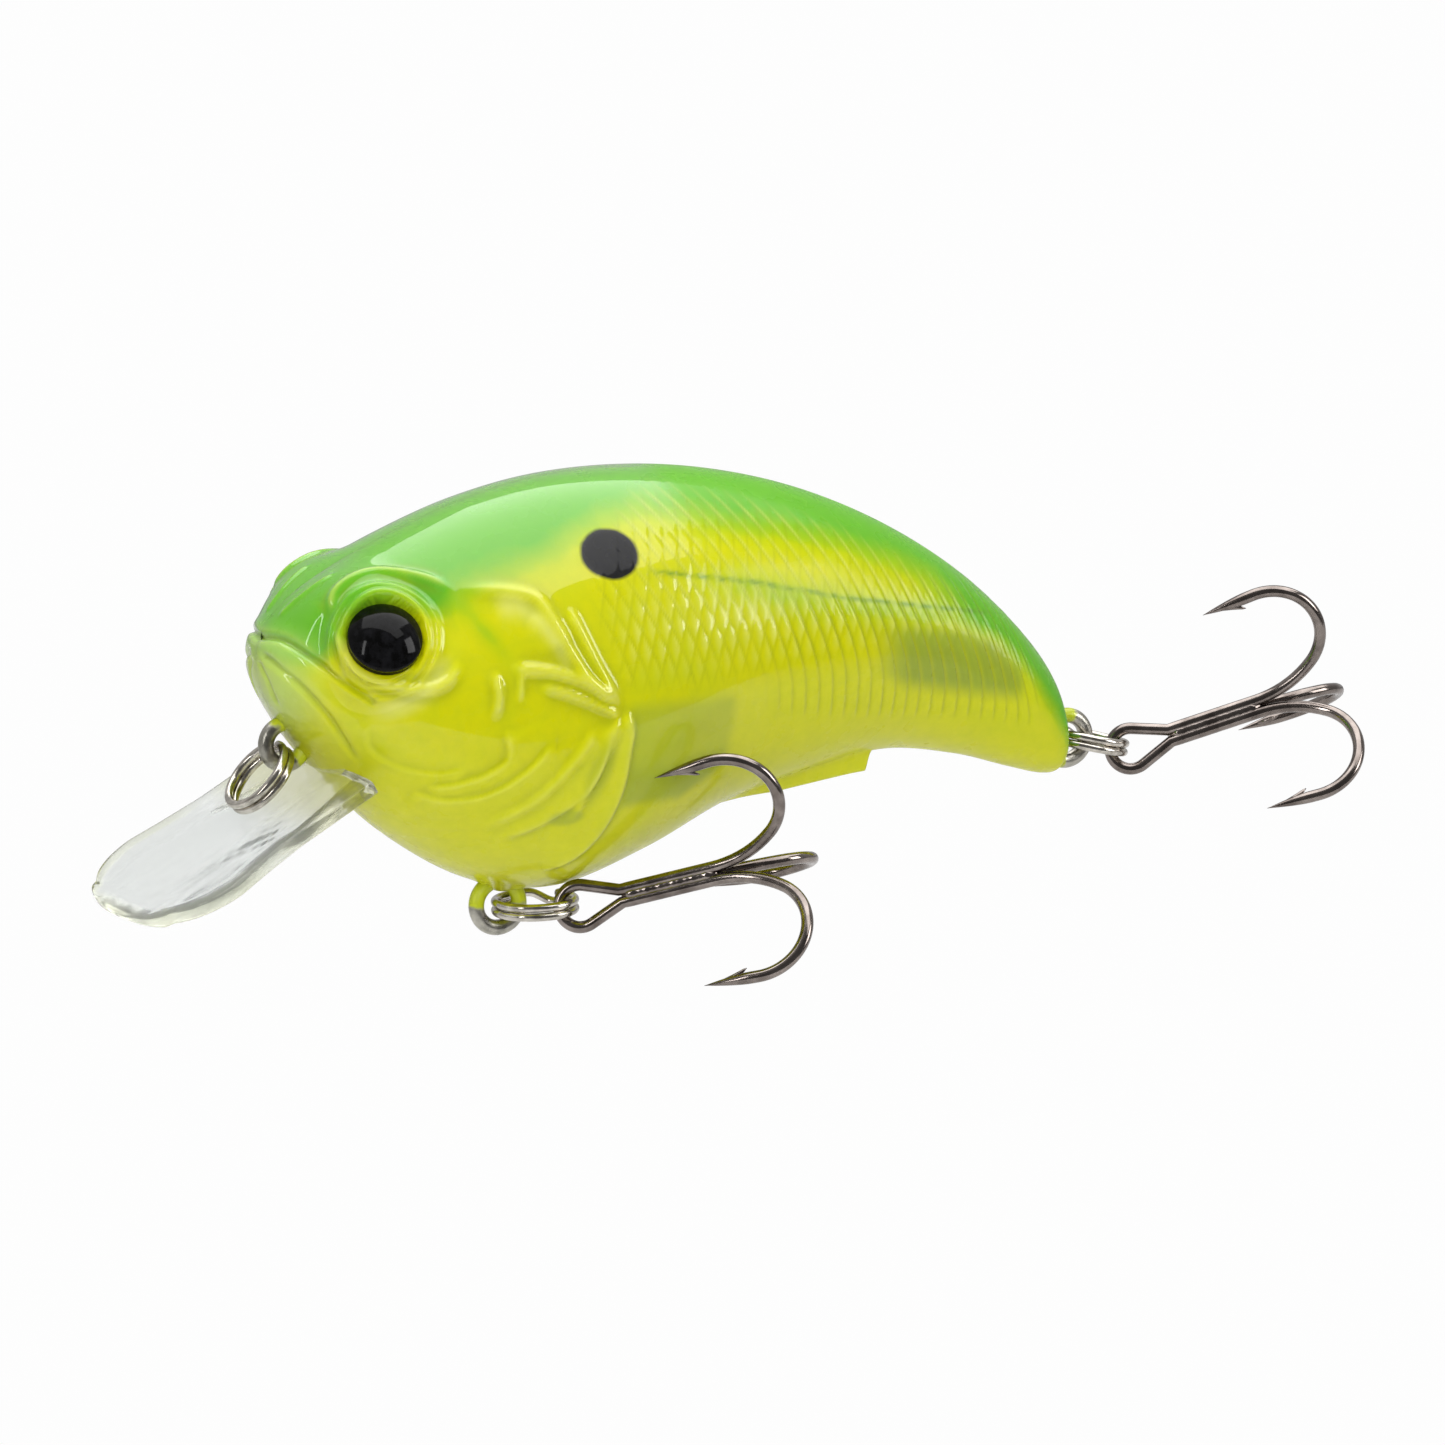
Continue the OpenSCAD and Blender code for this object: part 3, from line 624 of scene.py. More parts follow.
def eye_relief(relief, points, normals):
    """The eye's flat seat, and the rings and bowl round it."""
    _, up, r, near = from_eye(points)
    facing = np.maximum(normals @ EYE_FACES, 0.3)
    seat = smoothstep(EYE_R + 0.18, EYE_R + 0.08, r) * near
    rings = sum(height * bell(r - radius, width) for radius, width, height in EYE_RINGS)
    relief.height += rings * near * (1 - seat)
    floor = (-EYE_SOCKET_DEPTH - EYE_SEAT_SPARE - up) / facing
    relief.height = relief.height * (1 - seat) + floor * seat


def scale_zone(x, z, low):
    """Where the scales lie, from 0 to 1, with a patchy strength; low is their lower border."""
    top = height_at(SCALES_TOP, x)
    start = np.interp(z, [2, 5, 9, 12, 15], [18.6, 17.6, 16.4, 18.2, 20.5])
    zone = smoothstep(top + 0.8, top - 0.9, z) * smoothstep(low - 0.8, low + 1.0, z)
    zone = zone * smoothstep(start, start + 1.6, x) * smoothstep(52.5, 47, x)
    return zone * (0.75 + 0.25 * np.sin(x * 1.9 + z * 0.8) * np.sin(z * 1.7 - x * 0.6))


def rib_wave(x, z, low, phase):
    """Fine upright ribs below the scales: above zero in each groove and below on the lip beside it."""
    top = low + 1.5
    bottom = height_at(RIBS_LOW, x)
    zone = smoothstep(top + 3.5, top, z) * smoothstep(bottom - 0.5, bottom + 0.4, z)
    zone = zone * smoothstep(28, 33, x) * smoothstep(52.5, 50.5, x)
    groove = bell((phase + 0.5) % 1 - 0.5, 0.13)
    return zone * (groove - 0.6 * bell((phase + 0.72) % 1 - 0.5, 0.14))


def scale_pattern(points):
    """Overlapping diamond scales on the flank, which run out into fine ribs towards the tail.

    Returns how far they stand out, the painted highlight on each one, the painted shade in the lines between
    them and in the rib grooves, and the ribs.
    """
    x, z = points[..., 0], points[..., 2]
    v = z - height_at(SCALES_MIDDLE, x)
    low = height_at(SCALES_LOW, x)
    # Places in a scale, from 0 to 1, along two families of leaning lines
    steep = ((x + 0.14 * v + 0.115 * np.maximum(v + 3, 0) ** 1.45) / SCALE_PITCH) % 1
    slack = ((x - 0.30 * v) / SCALE_PITCH) % 1
    zone = scale_zone(x, z, low)
    fading = zone * np.interp(x, [18, 30, 38, 46], [1.0, 1.0, 0.75, 0.45])
    wave = rib_wave(x, z, low, steep)
    ribs = np.maximum(wave, 0)
    scale = np.sqrt(steep * slack) * smoothstep(1.0, 0.80, steep) * smoothstep(1.0, 0.80, slack)
    # Painted highlight: a glint across the scales along the middle of the side, and a light streak on the
    # upper scales' edges
    glint = bell(v - height_at(SCALES_GLINT, x), 2.2) * smoothstep(17, 21, x)
    high = smoothstep(1.0, 3.5, v) * smoothstep(19, 22, x)
    edge_light = 0.42 * bell((steep + 0.5) % 1 - 0.62, 0.10) * high * zone
    pale = np.maximum(0.55 * smoothstep(0.25, 0.75, scale) * glint * fading, edge_light)
    steep_line = bell(np.minimum(steep, 1 - steep), 0.09)
    slack_line = 0.7 * bell(np.minimum(slack, 1 - slack), 0.09)
    # Painted shade in the lines between scales and in the rib grooves
    lines = 0.40 * np.maximum(steep_line, slack_line) * fading + 0.30 * ribs
    return 0.042 * scale * fading - 0.10 * wave, pale, lines, ribs


def belly_relief(points):
    """How far the skin drops at the keel under the belly and at the belly hanger's fairing."""
    x, y, z = points[..., 0], points[..., 1], points[..., 2]
    bottom = np.interp(x, STATIONS[:, 0], STATIONS[:, 2])
    under = smoothstep(bottom + 2.4, bottom + 0.4, z)
    keel = height_at(KEEL, x) * smoothstep(2.3, 1.5, np.abs(y))
    fairing = 0.4 * bell(np.hypot(x - BELLY_AT[0], y), 1.1)
    return (keel + fairing) * under


def painted_face_highlight(points):
    """Painted highlight on the gill plate's corner, and a painted reflection in the bowl behind and below the
    eye.
    """
    x, z = points[..., 0], points[..., 2]
    down_plate = np.clip((x - 12.0) / 3.0, 0, 1)
    corner = bell(z - (9.0 - 3.6 * down_plate ** 1.5), 0.75)
    corner = corner * smoothstep(10.4, 11.6, x) * smoothstep(15.6, 14.4, x)
    off, _, r, near = from_eye(points)
    turned = np.degrees(np.arctan2(-off[..., 2], off[..., 0]))
    bowl = bell(r - 3.9, 0.5) * smoothstep(15, 40, turned) * smoothstep(108, 85, turned)
    return np.clip(0.6 * corner + 0.6 * bowl * near, 0, 1)


def oval(x, z, centre, half_axes):
    """Distance from a centre on the body's side, counted in the half axes of an oval."""
    return np.hypot((x - centre[0]) / half_axes[0], (z - centre[1]) / half_axes[1])


def green_mask(x, z):
    """Green on the back, behind the eye, on the cheek and the snout, and faintly along the side."""
    green = smoothstep(-1.8, 2.2, z - height_at(GREEN_EDGE, x))
    green = green + 0.6 * bell(oval(x, z, (7.0, 9.4), (1.3, 1.4)), 1.0)
    green = green + 0.45 * bell(oval(x + (z - 7.4) * 0.6, z, (9.9, 7.4), (0.7, 1.5)), 1.0)
    green = green + 0.9 * bell(oval(x, z, (-0.6, 7.0), (1.6, 1.3)), 1.0)
    band = bell(z - height_at(SIDE_BAND, x), 1.3) * smoothstep(21, 30, x) * smoothstep(52, 47, x)
    return np.clip(np.clip(green, 0, 1) + 0.42 * band, 0, 1)


def shade_mask(x, z):
    """Shadows of what lies behind the skin: the ballast chamber, a pocket, the gill and the tail tube."""
    chamber_low = height_at(CHAMBER_LOW, x)
    chamber = smoothstep(19.0, 20.0, x) * smoothstep(27.8, 26.6, x) * smoothstep(2.8, 1.6, z)
    chamber = chamber * smoothstep(chamber_low - 0.5, chamber_low + 0.5, z)
    chamber = chamber * (0.45 + 0.25 * smoothstep(-0.8, -2.8, z))
    pocket = 0.5 * smoothstep(1.25, 0.75, oval(x, z, (15.6, -4.7), (1.2, 0.55)))
    gill = 0.4 * smoothstep(1.2, 0.5, oval(x - (z + 1.5) * 0.25, z, (17.5, -1.8), (1.0, 2.2)))
    tail_top = height_at(TAIL_TUBE_TOP, x)
    tail_low = height_at(TAIL_TUBE_LOW, x)
    tail = 0.9 * smoothstep(tail_top + 0.6, tail_top - 0.6, z) * smoothstep(tail_low - 0.6, tail_low + 0.9, z)
    tail = tail * smoothstep(37.0, 41.4, x) * smoothstep(51.0, 50.0, x)
    return np.maximum.reduce([chamber, pocket, gill, tail])


def gloss_mask(x, z, spot):
    """How strong the coat's mirror is: weaker behind the shoulder, on the rear, below and on the spot."""
    behind_shoulder = 1 - 0.85 * smoothstep(23.6, 26.2, x) * smoothstep(6, 9, z)
    rear = 1 - 0.6 * smoothstep(26, 32, x)
    below = 1 - 0.65 * smoothstep(3, -2, z)
    return behind_shoulder * rear * below * (1 - 0.65 * spot)


def paint_masks(points):
    """Where each colour lies on the skin, from 0 to 1."""
    x, y, z = points[..., 0], points[..., 1], points[..., 2]
    from_spot = np.hypot((x - 19.0) / 1.95, np.hypot(z - 11.55, np.abs(y) - 7.15) / 1.75)
    spot = smoothstep(1.25, 0.75, from_spot)
    stripe = bell(z - height_at(STRIPE, x), 0.16) * smoothstep(20.5, 23, x) * smoothstep(50, 46, x)
    return {
        "green": green_mask(x, z),
        "pale": smoothstep(0.8, -1.0, z - height_at(PALE_EDGE, x)),
        "mint": 0.7 * smoothstep(1.2, -1.6, x) * smoothstep(8.2, 6.4, z),
        "shade": shade_mask(x, z),
        "stripe": 0.75 * stripe,
        "spot": spot,
        "gloss": gloss_mask(x, z, spot),
    }


def fine_relief(height):
    """What is left of a relief without its broad shapes: above zero on crests and below in creases."""
    broad = height
    for _ in range(16):
        padded = np.pad(broad, 1, mode="edge")
        broad = (padded[:-2, 1:-1] + padded[2:, 1:-1] + padded[1:-1, :-2] + padded[1:-1, 2:]) / 4
    return height - broad


def shell_faces(rows, columns, side):
    """Skin, the strip along the split and the two ends; side sets which way the faces are wound."""
    split = [
        [i * columns, (i + 1) * columns, (i + 2) * columns - 1, (i + 1) * columns - 1]
        for i in range(rows - 1)
    ]
    nose = list(range(columns))[::-1]
    tail = list(range((rows - 1) * columns, rows * columns))
    faces = grid_faces(rows, columns, wrap=False) + split + [nose, tail]
    return faces if side > 0 else [face[::-1] for face in faces]


def sharpen_split(mesh, columns):
    """Makes the edges where the split face meets the skin sharp."""
    pairs = np.zeros(len(mesh.edges) * 2, np.int32)
    mesh.edges.foreach_get("vertices", pairs)
    on_split = np.isin(pairs.reshape(-1, 2) % columns, [0, columns - 1]).all(1)
    sharp = mesh.attributes.new("sharp_edge", "BOOLEAN", "EDGE")
    sharp.data.foreach_set("value", on_split)


def body_half(side, name, node, material):
    """One half of the body: side is -1 for the left half and 1 for the right."""
    angles = np.linspace(math.pi / 2, -math.pi / 2, SKIN_COLUMNS)
    points = bare_skin(even_places(SKIN_ROWS), angles)
    normals = skin_normals(points)
    relief = Relief(points)
    face_relief(relief)
    folds = fine_relief(relief.height)
    scales, scale_highlight, scale_line_shade, ribs = scale_pattern(points)
    relief.height += scales
    eye_relief(relief, points, normals)
    shaped = points + relief.height[..., None] * normals
    shaped[..., 2] -= belly_relief(points)
    shaped[:, [0, -1], 1] = WELD
    shaped[..., 1] = np.maximum(shaped[..., 1], WELD) * side
    faces = shell_faces(SKIN_ROWS, SKIN_COLUMNS, side)
    obj = mesh_object(name, shaped.reshape(-1, 3), faces, "lure", material)
    sharpen_split(obj.data, SKIN_COLUMNS)
    masks = paint_masks(points)
    # Painted highlight on the crests of the head's fine folds
    crest_highlight = FOLD_LIGHT_AND_SHADE * smoothstep(0.01, 0.15, folds)
    # Painted shade in the creases of the head's fine folds
    fold_crease_shade = FOLD_LIGHT_AND_SHADE * smoothstep(0.0, 0.07, -folds)
    # Painted highlights: the glints on the scales, the gill corner, the eye's bowl and the fold crests
    masks["painted_highlight"] = np.maximum.reduce([scale_highlight, painted_face_highlight(points), crest_highlight])
    # Painted shade in the lines between scales, the rib grooves and the fold creases
    masks["crease_shade"] = np.maximum(scale_line_shade, fold_crease_shade)
    masks["shade"] = masks["shade"] * (1 - RIB_LIGHT * ribs)
    for key, value in masks.items():
        add_attribute(obj, key, value.ravel())
    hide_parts(node)


# ---------------------------------------------------------------- eyes

def dome_profile():
    """Radius and height from the middle of the flat base, up the rim and over the dome to its top."""
    radius = EYE_R - 0.02
    base = EYE_DISC_TOP - EYE_SOCKET_DEPTH
    rise = EYE_DOME_H - EYE_RIM
    ball = (radius ** 2 + rise ** 2) / (2 * rise)
    # The dome starts a little inside the rim, which leaves a soft shoulder
    start = 0.985 * math.asin(radius / ball)
    profile = [(0.0, base), (radius - 0.05, base), (radius, base + 0.05), (radius, base + EYE_RIM - 0.03)]
    for angle in np.linspace(start, 0, 29):
        profile.append((ball * math.sin(angle), base + EYE_DOME_H - ball + ball * math.cos(angle)))
    return profile


def eye_dome(side, name, node, material):
    """A black cap on a short straight rim."""
    profile = dome_profile()
    sides = 72
    z_axis = Vector(EYE_FACES * (1, side, 1)).normalized()
    x_axis = z_axis.orthogonal().normalized()
    y_axis = z_axis.cross(x_axis)
    centre = Vector(EYE_AT * (1, side, 1))
    points = []
    for r, h in profile[1:-1]:
        for j in range(sides):
            t = 2 * math.pi * j / sides
            points.append(centre + z_axis * h + (x_axis * math.cos(t) + y_axis * math.sin(t)) * r)
    points += [centre + z_axis * profile[0][1], centre + z_axis * profile[-1][1]]
    rows = len(profile) - 2
    bottom, last_row = rows * sides, (rows - 1) * sides
    faces = grid_faces(rows, sides, wrap=True)
    for j in range(sides):
        k = (j + 1) % sides
        faces += [[bottom, k, j], [bottom + 1, last_row + j, last_row + k]]
    obj = mesh_object(name, [tuple(p) for p in points], faces, "lure", material)
    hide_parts(node)


# ---------------------------------------------------------------- wire sweeps

def swept(path, radii, sides=16, closed=False, first=(0, 0, 1)):
    """Points and faces of a round wire along a path; radii is one number or one for each point."""
    path = np.asarray(path, float)
    count = len(path)
    radii = np.broadcast_to(radii, (count,))
    along = np.roll(path, -1, 0) - np.roll(path, 1, 0) if closed else np.gradient(path, axis=0)
    along /= np.linalg.norm(along, axis=1)[:, None]
    side = np.zeros_like(path)
    v = np.asarray(first, float)
    for i in range(count):
        v = v - (v @ along[i]) * along[i]
        v /= np.linalg.norm(v)
        side[i] = v
    t = 2 * np.pi * np.arange(sides) / sides
    other = np.cross(along, side)
    ring = np.cos(t)[None, :, None] * side[:, None] + np.sin(t)[None, :, None] * other[:, None]
    points = (path[:, None] + radii[:, None, None] * ring).reshape(-1, 3)
    faces = grid_faces(count, sides, wrap=True)
    last = (count - 1) * sides
    if not closed:
        return points, faces + [list(range(sides))[::-1], list(range(last, last + sides))]
    # The frame may come round turned, so the last ring joins the first at the nearest turn
    away = [np.linalg.norm(np.roll(points[:sides], -k, 0) - points[last:]) for k in range(sides)]
    turned = int(np.argmin(away))
    for j in range(sides):
        k = (j + 1) % sides
        faces.append([last + j, last + k, (k + turned) % sides, (j + turned) % sides])
    return points, faces


def joined(parts):
    """Points and faces of several parts as one mesh."""
    points, faces, start = [], [], 0
    for part_points, part_faces in parts:
        points.append(np.asarray(part_points))
        faces += [[v + start for v in f] for f in part_faces]
        start += len(part_points)
    return np.vstack(points), faces


def turn(x=0.0, y=0.0, z=0.0):
    """Rotation by degrees about one axis."""
    for axis, angle in (("X", x), ("Y", y), ("Z", z)):
        if angle:
            return Matrix.Rotation(math.radians(angle), 4, axis)
    return Matrix.Identity(4)


def move(x=0.0, y=0.0, z=0.0):
    return Matrix.Translation((x, y, z))


def placed(points, matrix):
    m = np.array(matrix)
    return np.asarray(points) @ m[:3, :3].T + m[:3, 3]


# ---------------------------------------------------------------- hangers

def arc(centre_x, radius, start, end, count):
    """Points on a circle in the XZ plane, between two angles in degrees."""
    t = np.radians(np.linspace(start, end, count))
    return np.stack([centre_x + radius * np.cos(t), 0 * t, radius * np.sin(t)], -1)


def hanger_leg(start_x, end_x, z):
    """Points inside a straight run of the hanger's wire."""
    x = np.linspace(start_x, end_x, 16)[1:-1]
    return np.stack([x, 0 * x, z + 0 * x], -1)


def hanger(name, node, place, loop_r, length, material):
    """One wire bent into an outer eye, two legs and an anchor eye."""
    gap = WIRE_R + HANGER_GAP / 2
    opening = math.degrees(math.asin(gap / loop_r))
    anchor_opening = math.degrees(math.asin(gap / ANCHOR_R))
    start = loop_r * math.cos(math.radians(opening))
    end = length - ANCHOR_R * math.cos(math.radians(anchor_opening))
    path = np.vstack([
        arc(0, loop_r, opening, 360 - opening, 72),
        hanger_leg(start, end, -gap),
        arc(length, ANCHOR_R, anchor_opening - 180, 180 - anchor_opening, 60),
        hanger_leg(end, start, gap),
    ])
    points, faces = swept(path, WIRE_R, 18, closed=True, first=(0, 1, 0))
    obj = mesh_object(name, placed(points, place), faces, "lure", material)
    add_attribute(obj, "paint", smoothstep(-1.0, 0.9, points[:, 0]))
    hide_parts(node)


# ---------------------------------------------------------------- split rings

TIE_FRAME = turn(y=42 - 180) @ turn(y=-90) @ move(x=TIE_MEAN_R + 0.3)
BELLY_RING = move(*BELLY_AT) @ turn(y=-1.8) @ turn(z=-39) @ move(x=SPLIT_MEAN_R - 0.1) @ turn(z=39)
TAIL_RING = move(*TAIL_AT) @ turn(y=13) @ turn(z=27) @ move(x=SPLIT_MEAN_R + 0.22) @ turn(z=-27)


def split_ring(name, node, body, place, mean_r, material):
    """Two flat coils of wire joined by a short jog, with cut ends."""
    degrees = np.arange(COIL_START, COIL_END + 0.5, 3)
    height = SPLIT_PITCH * (smoothstep(JOG_START, JOG_END, degrees) - 0.5)
    angle = np.radians(degrees)
    path = np.stack([mean_r * np.cos(angle), mean_r * np.sin(angle), height], -1)
    radii = np.full(len(path), SPLIT_WIRE_R)
    radii[[0, -1]] *= 0.8
    points, faces = swept(path, radii, 18)
    obj = mesh_object(name, placed(points, place), faces, body, material)
    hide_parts(node)


# ---------------------------------------------------------------- treble hooks

BUNDLE_R = HOOK_WIRE_R * 2 / math.sqrt(3) + 0.02
BEND_CHANGE = math.degrees(math.acos(
    (OUTER_BEND_R + BUNDLE_R - (HOOK_GAPE - INNER_BEND_R)) / (OUTER_BEND_R - INNER_BEND_R)))


def prong_outline():
    """A prong from the bend's start to its point, as (distance along the shank, distance from its axis).

    Returns the outline, the wire's radius at each place, where the straight point starts, and its way.
    """
    out = []
    for t in np.radians(np.linspace(0, BEND_CHANGE, 10)[:-1]):
        out.append((SHANK_LENGTH + OUTER_BEND_R * math.sin(t), BUNDLE_R + OUTER_BEND_R * (1 - math.cos(t))))
    centre_x = SHANK_LENGTH + (OUTER_BEND_R - INNER_BEND_R) * math.sin(math.radians(BEND_CHANGE))
    centre_r = HOOK_GAPE - INNER_BEND_R
    for t in np.radians(np.linspace(BEND_CHANGE, FINAL_HEADING, 44)):
        out.append((centre_x + INNER_BEND_R * math.sin(t), centre_r - INNER_BEND_R * math.cos(t)))
    heading = math.radians(FINAL_HEADING)
    way = np.array([math.cos(heading), math.sin(heading)])
    last = np.array(out[-1])
    radii = [HOOK_WIRE_R] * len(out)
    for d in np.linspace(0, 1, 19)[1:]:
        out.append(tuple(last + way * POINT_LENGTH * d))
        sharp = max(0.0, (d - 0.16) / 0.84)
        radii.append(max(HOOK_WIRE_R * (1 - sharp ** 1.5), 0.015))
    return np.array(out), np.array(radii), last, way


def on_prong(outline, degrees):
    """Outline coordinates into the hook's frame, for a prong at an angle round the shank."""
    t = math.radians(degrees)
    along, away = outline[:, 0], outline[:, 1]
    return np.stack([along, BUNDLE_R / 2 + away * math.cos(t), away * math.sin(t)], -1)


def barb(degrees, last, way):
    """The barb: a thin blade that lifts off the inside of the point and ends in a sharp tip."""
    root = last + way * BARB_AT
    spine = [root + way * along + np.array([0.0, -1.0]) * lift for along, lift, _ in BARB_SPINE]
    radii = [radius for _, _, radius in BARB_SPINE]
    return swept(on_prong(np.array(spine), degrees), radii, 10)


def shank_leg(start, end, count=12):
    """Evenly spaced points from the start of a straight leg, without its end."""
    return [start + (end - start) * k for k in np.linspace(0, 1, count)[:-1]]


def double_hook():
    """One wire: a prong, the shank, the eye, the shank again and the other prong."""
    outline, radii, last, way = prong_outline()
    upper, lower = (on_prong(outline, degrees) for degrees in (120, -120))
    half_gap = BUNDLE_R * math.sin(math.radians(60))
    reach = math.hypot(EYE_LEGS_MEET, half_gap)
    tangent = math.degrees(math.acos(HOOK_EYE_R / reach) + math.atan2(half_gap, EYE_LEGS_MEET))
    upper_leg = shank_leg(np.array([EYE_LEGS_MEET, 0, half_gap]), upper[0])
    lower_leg = shank_leg(np.array([EYE_LEGS_MEET, 0, -half_gap]), lower[0])
    eye = arc(0, HOOK_EYE_R, tangent, 360 - tangent, 44)
    path = np.vstack([upper[::-1], upper_leg[::-1], eye, lower_leg, lower])
    wide = np.full(len(path) - 2 * len(radii), HOOK_WIRE_R)
    tube = swept(path, np.concatenate([radii[::-1], wide, radii]), 16, first=(0, 1, 0))
    return joined([tube, barb(120, last, way), barb(-120, last, way)])


def braze_fillet(side):
    """An uneven bead along one side of the third prong."""
    along = np.linspace(3.2, SHANK_LENGTH + 0.6, 40)
    path = np.stack([along, 0 * along + BUNDLE_R * 0.98, 0 * along + side * BUNDLE_R * 0.60], -1)
    wave = 0.17 + 0.035 * np.sin(along * 5.1 + side) + 0.03 * np.sin(along * 11.7)
    from_ends = np.linspace(0, 12, 40) + 0.3
    return swept(path, wave * np.minimum(1, from_ends) * np.minimum(1, from_ends[::-1]), 10)


def braze_fill():
    """The lumpy core of braze between the three wires."""
    along = np.linspace(2.75, SHANK_LENGTH + 0.3, 60)
    lumps = 0.41 + 0.010 * np.sin(along * 6.1) + 0.008 * np.sin(along * 14.3 + 1)
    ends = smoothstep(2.6, 3.3, along) * smoothstep(SHANK_LENGTH + 0.5, SHANK_LENGTH - 0.3, along)
    path = np.stack([along, 0 * along + 0.01, 0 * along], -1)
    return swept(path, np.maximum(lumps * ends, 0.05), 14)


def single_hook():
    """The third prong, with the braze that holds it to the other two."""
    outline, radii, last, way = prong_outline()
    prong = on_prong(outline, THIRD_PRONG)
    start = np.array([2.9, BUNDLE_R * 1.5, 0])
    shank = shank_leg(start, prong[0])
    tucked_end = start - np.array([0.22, 0.10, 0])
    path = np.vstack([[tucked_end], shank, prong])
    radii = np.concatenate([[HOOK_WIRE_R * 0.55], np.full(len(shank), HOOK_WIRE_R), radii])
    wire = swept(path, radii, 16)
    return joined([wire, barb(THIRD_PRONG, last, way), braze_fillet(-1), braze_fillet(1), braze_fill()])


def hook_place(ring, eye_yaw, yaw, rise, roll):
    """The frame of a hook: its eye hangs in a ring at eye_yaw, and its shank turns about the ring's wire."""
    in_ring = ring @ turn(z=-eye_yaw) @ move(x=SPLIT_MEAN_R + HOOK_SLACK)
    return in_ring @ turn(z=eye_yaw - yaw) @ turn(y=-rise) @ turn(x=-roll)


def hook(name, node, body, place, shape, material):
    points, faces = shape
    obj = mesh_object(name, placed(points, place), faces, body, material)
    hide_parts(node)


# ---------------------------------------------------------------- lip

def lip_half_width(s):
    """Half of the lip's width at a distance s in front of the line tie."""
    corner = 4.2
    corner_x = LIP_REACH - corner - 1.1
    if s <= corner_x:
        waist = [LIP_NECK, LIP_NECK, LIP_HALF_WIDTH - 0.5, LIP_HALF_WIDTH]
        return float(np.interp(s, [LIP_ROOT, 3.2, 6.0, corner_x], waist))
    edge = corner_x + 0.93 * corner
    rounded = LIP_HALF_WIDTH - corner + math.sqrt(corner ** 2 - (min(s, edge) - corner_x) ** 2)
    if s <= edge:
        return rounded
    return rounded * math.sqrt(max(0.0, 1 - ((s - edge) / (LIP_REACH - edge)) ** 2.2))


def lip_half_widths(s):
    """Half widths at every place along the lip, with the corners of their outline smoothed."""
    half = np.array([lip_half_width(v) for v in s])
    for _ in range(3):
        half[1:-1] = (half[:-2] + 2 * half[1:-1] + half[2:]) / 4
    half[-1] = 0.3
    return half


def lip_dish(s, y, half, inner):
    """How far the upper face stands up: a shallow dish with two creases, moulding flow and a swirl."""
    side = np.abs(y)
    dish = -0.10 * smoothstep(-2, 3, s)
    crease_shade = 0.05 * bell(side - 0.35 * half, 0.3) * smoothstep(0, 2, s)
    flow = 0.016 * np.sin(3.1 * y + 0.35 * s) + 0.010 * np.sin(6.7 * y - 0.5 * s + 1.0)
    across = side - 5.1 + 0.22 * (s - 4.4)
    swirl = bell(np.hypot((s - 4.4) / 2.6, across / 0.8), 1.0) * np.sin(7.5 * across + 1.3 * s)
    return (dish + crease_shade + flow + 0.10 * swirl) * inner


def lip_underside(s, y):
    """How far the lower face hangs down: a low keel, and a web on each side of the root."""
    keel = 0.22 * bell(y, 2.2) * smoothstep(LIP_REACH - 1.5, LIP_REACH - 5, s)
    web = 0.22 * bell(np.abs(y) - 4.6 - 0.25 * s, 1.1) * smoothstep(4.6, 2.2, s)
    return keel + web


def lip(material):
    """The blade: a waisted plate with rounded edges, a shallow dish on top and a low keel below."""
    rows, columns = 150, 96
    k = np.linspace(0, 1, rows)
    s = LIP_ROOT + (LIP_REACH - LIP_ROOT - 0.01) * (1 - (1 - k) ** 1.8)
    thick = LIP_THICKNESS * np.clip((LIP_REACH - s) / 0.9, 0.0, 1.0) ** 0.5
    thick[-1] = 0.25
    s, half, thick = s[:, None], lip_half_widths(s)[:, None], thick[:, None]
    t = 2 * np.pi * np.arange(columns) / columns
    # Columns lie closer together at the edges, where the plate rounds over
    across = np.sign(np.cos(t)) * np.abs(np.cos(t)) ** 0.45
    level = np.sign(np.sin(t)) * np.abs(np.sin(t)) ** 0.35
    y = half * across
    room = np.minimum(half - np.abs(y), LIP_REACH - s)
    z = -LIP_THICKNESS / 2 + thick / 2 * level
    z += np.where(level > 0.9, lip_dish(s, y, half, smoothstep(0.3, 1.6, room)), 0)
    z -= np.where(level < -0.9, lip_underside(s, y), 0)
    points = np.stack([np.broadcast_to(s, y.shape), y, z], -1).reshape(-1, 3)
    ends = [list(range(columns))[::-1], list(range((rows - 1) * columns, rows * columns))]
    faces = grid_faces(rows, columns, wrap=True) + ends
    # The lip's own frame has x to the tip; a half turn about Z keeps the solid's hand
    place = move(z=LIP_DROP) @ turn(y=-LIP_ANGLE) @ turn(z=180)
    obj = mesh_object("lip_blade", placed(points, place), faces, "lure", material)
    # Where the body's yellow, seen through the lip, is painted on
    add_attribute(obj, "root", 0.75 * np.repeat(smoothstep(3.5, -0.5, s), columns))
    add_attribute(obj, "rim", (0.8 * smoothstep(1.0, 0.2, room) * smoothstep(2, 6, s)).ravel())
    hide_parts("diving_lip")


# ---------------------------------------------------------------- stage

def light_panel(name, matrix, size_x, size_y, power):
    """A rectangular studio light; its sizes are in millimetres."""
    light = bpy.data.lights.new(name, "AREA")
    light.shape = "RECTANGLE"
    light.size, light.size_y = size_x * MM, size_y * MM
    light.energy = power
    obj = bpy.data.objects.new(name, light)
    obj.matrix_world = matrix
    bpy.context.scene.collection.objects.link(obj)
    return obj


def overhead(name, at, size_x, size_y, power):
    """A panel that faces straight down and lies square to the view."""
    return light_panel(name, Matrix.Translation(Vector(at) * MM) @ turn(z=-46), size_x, size_y, power)


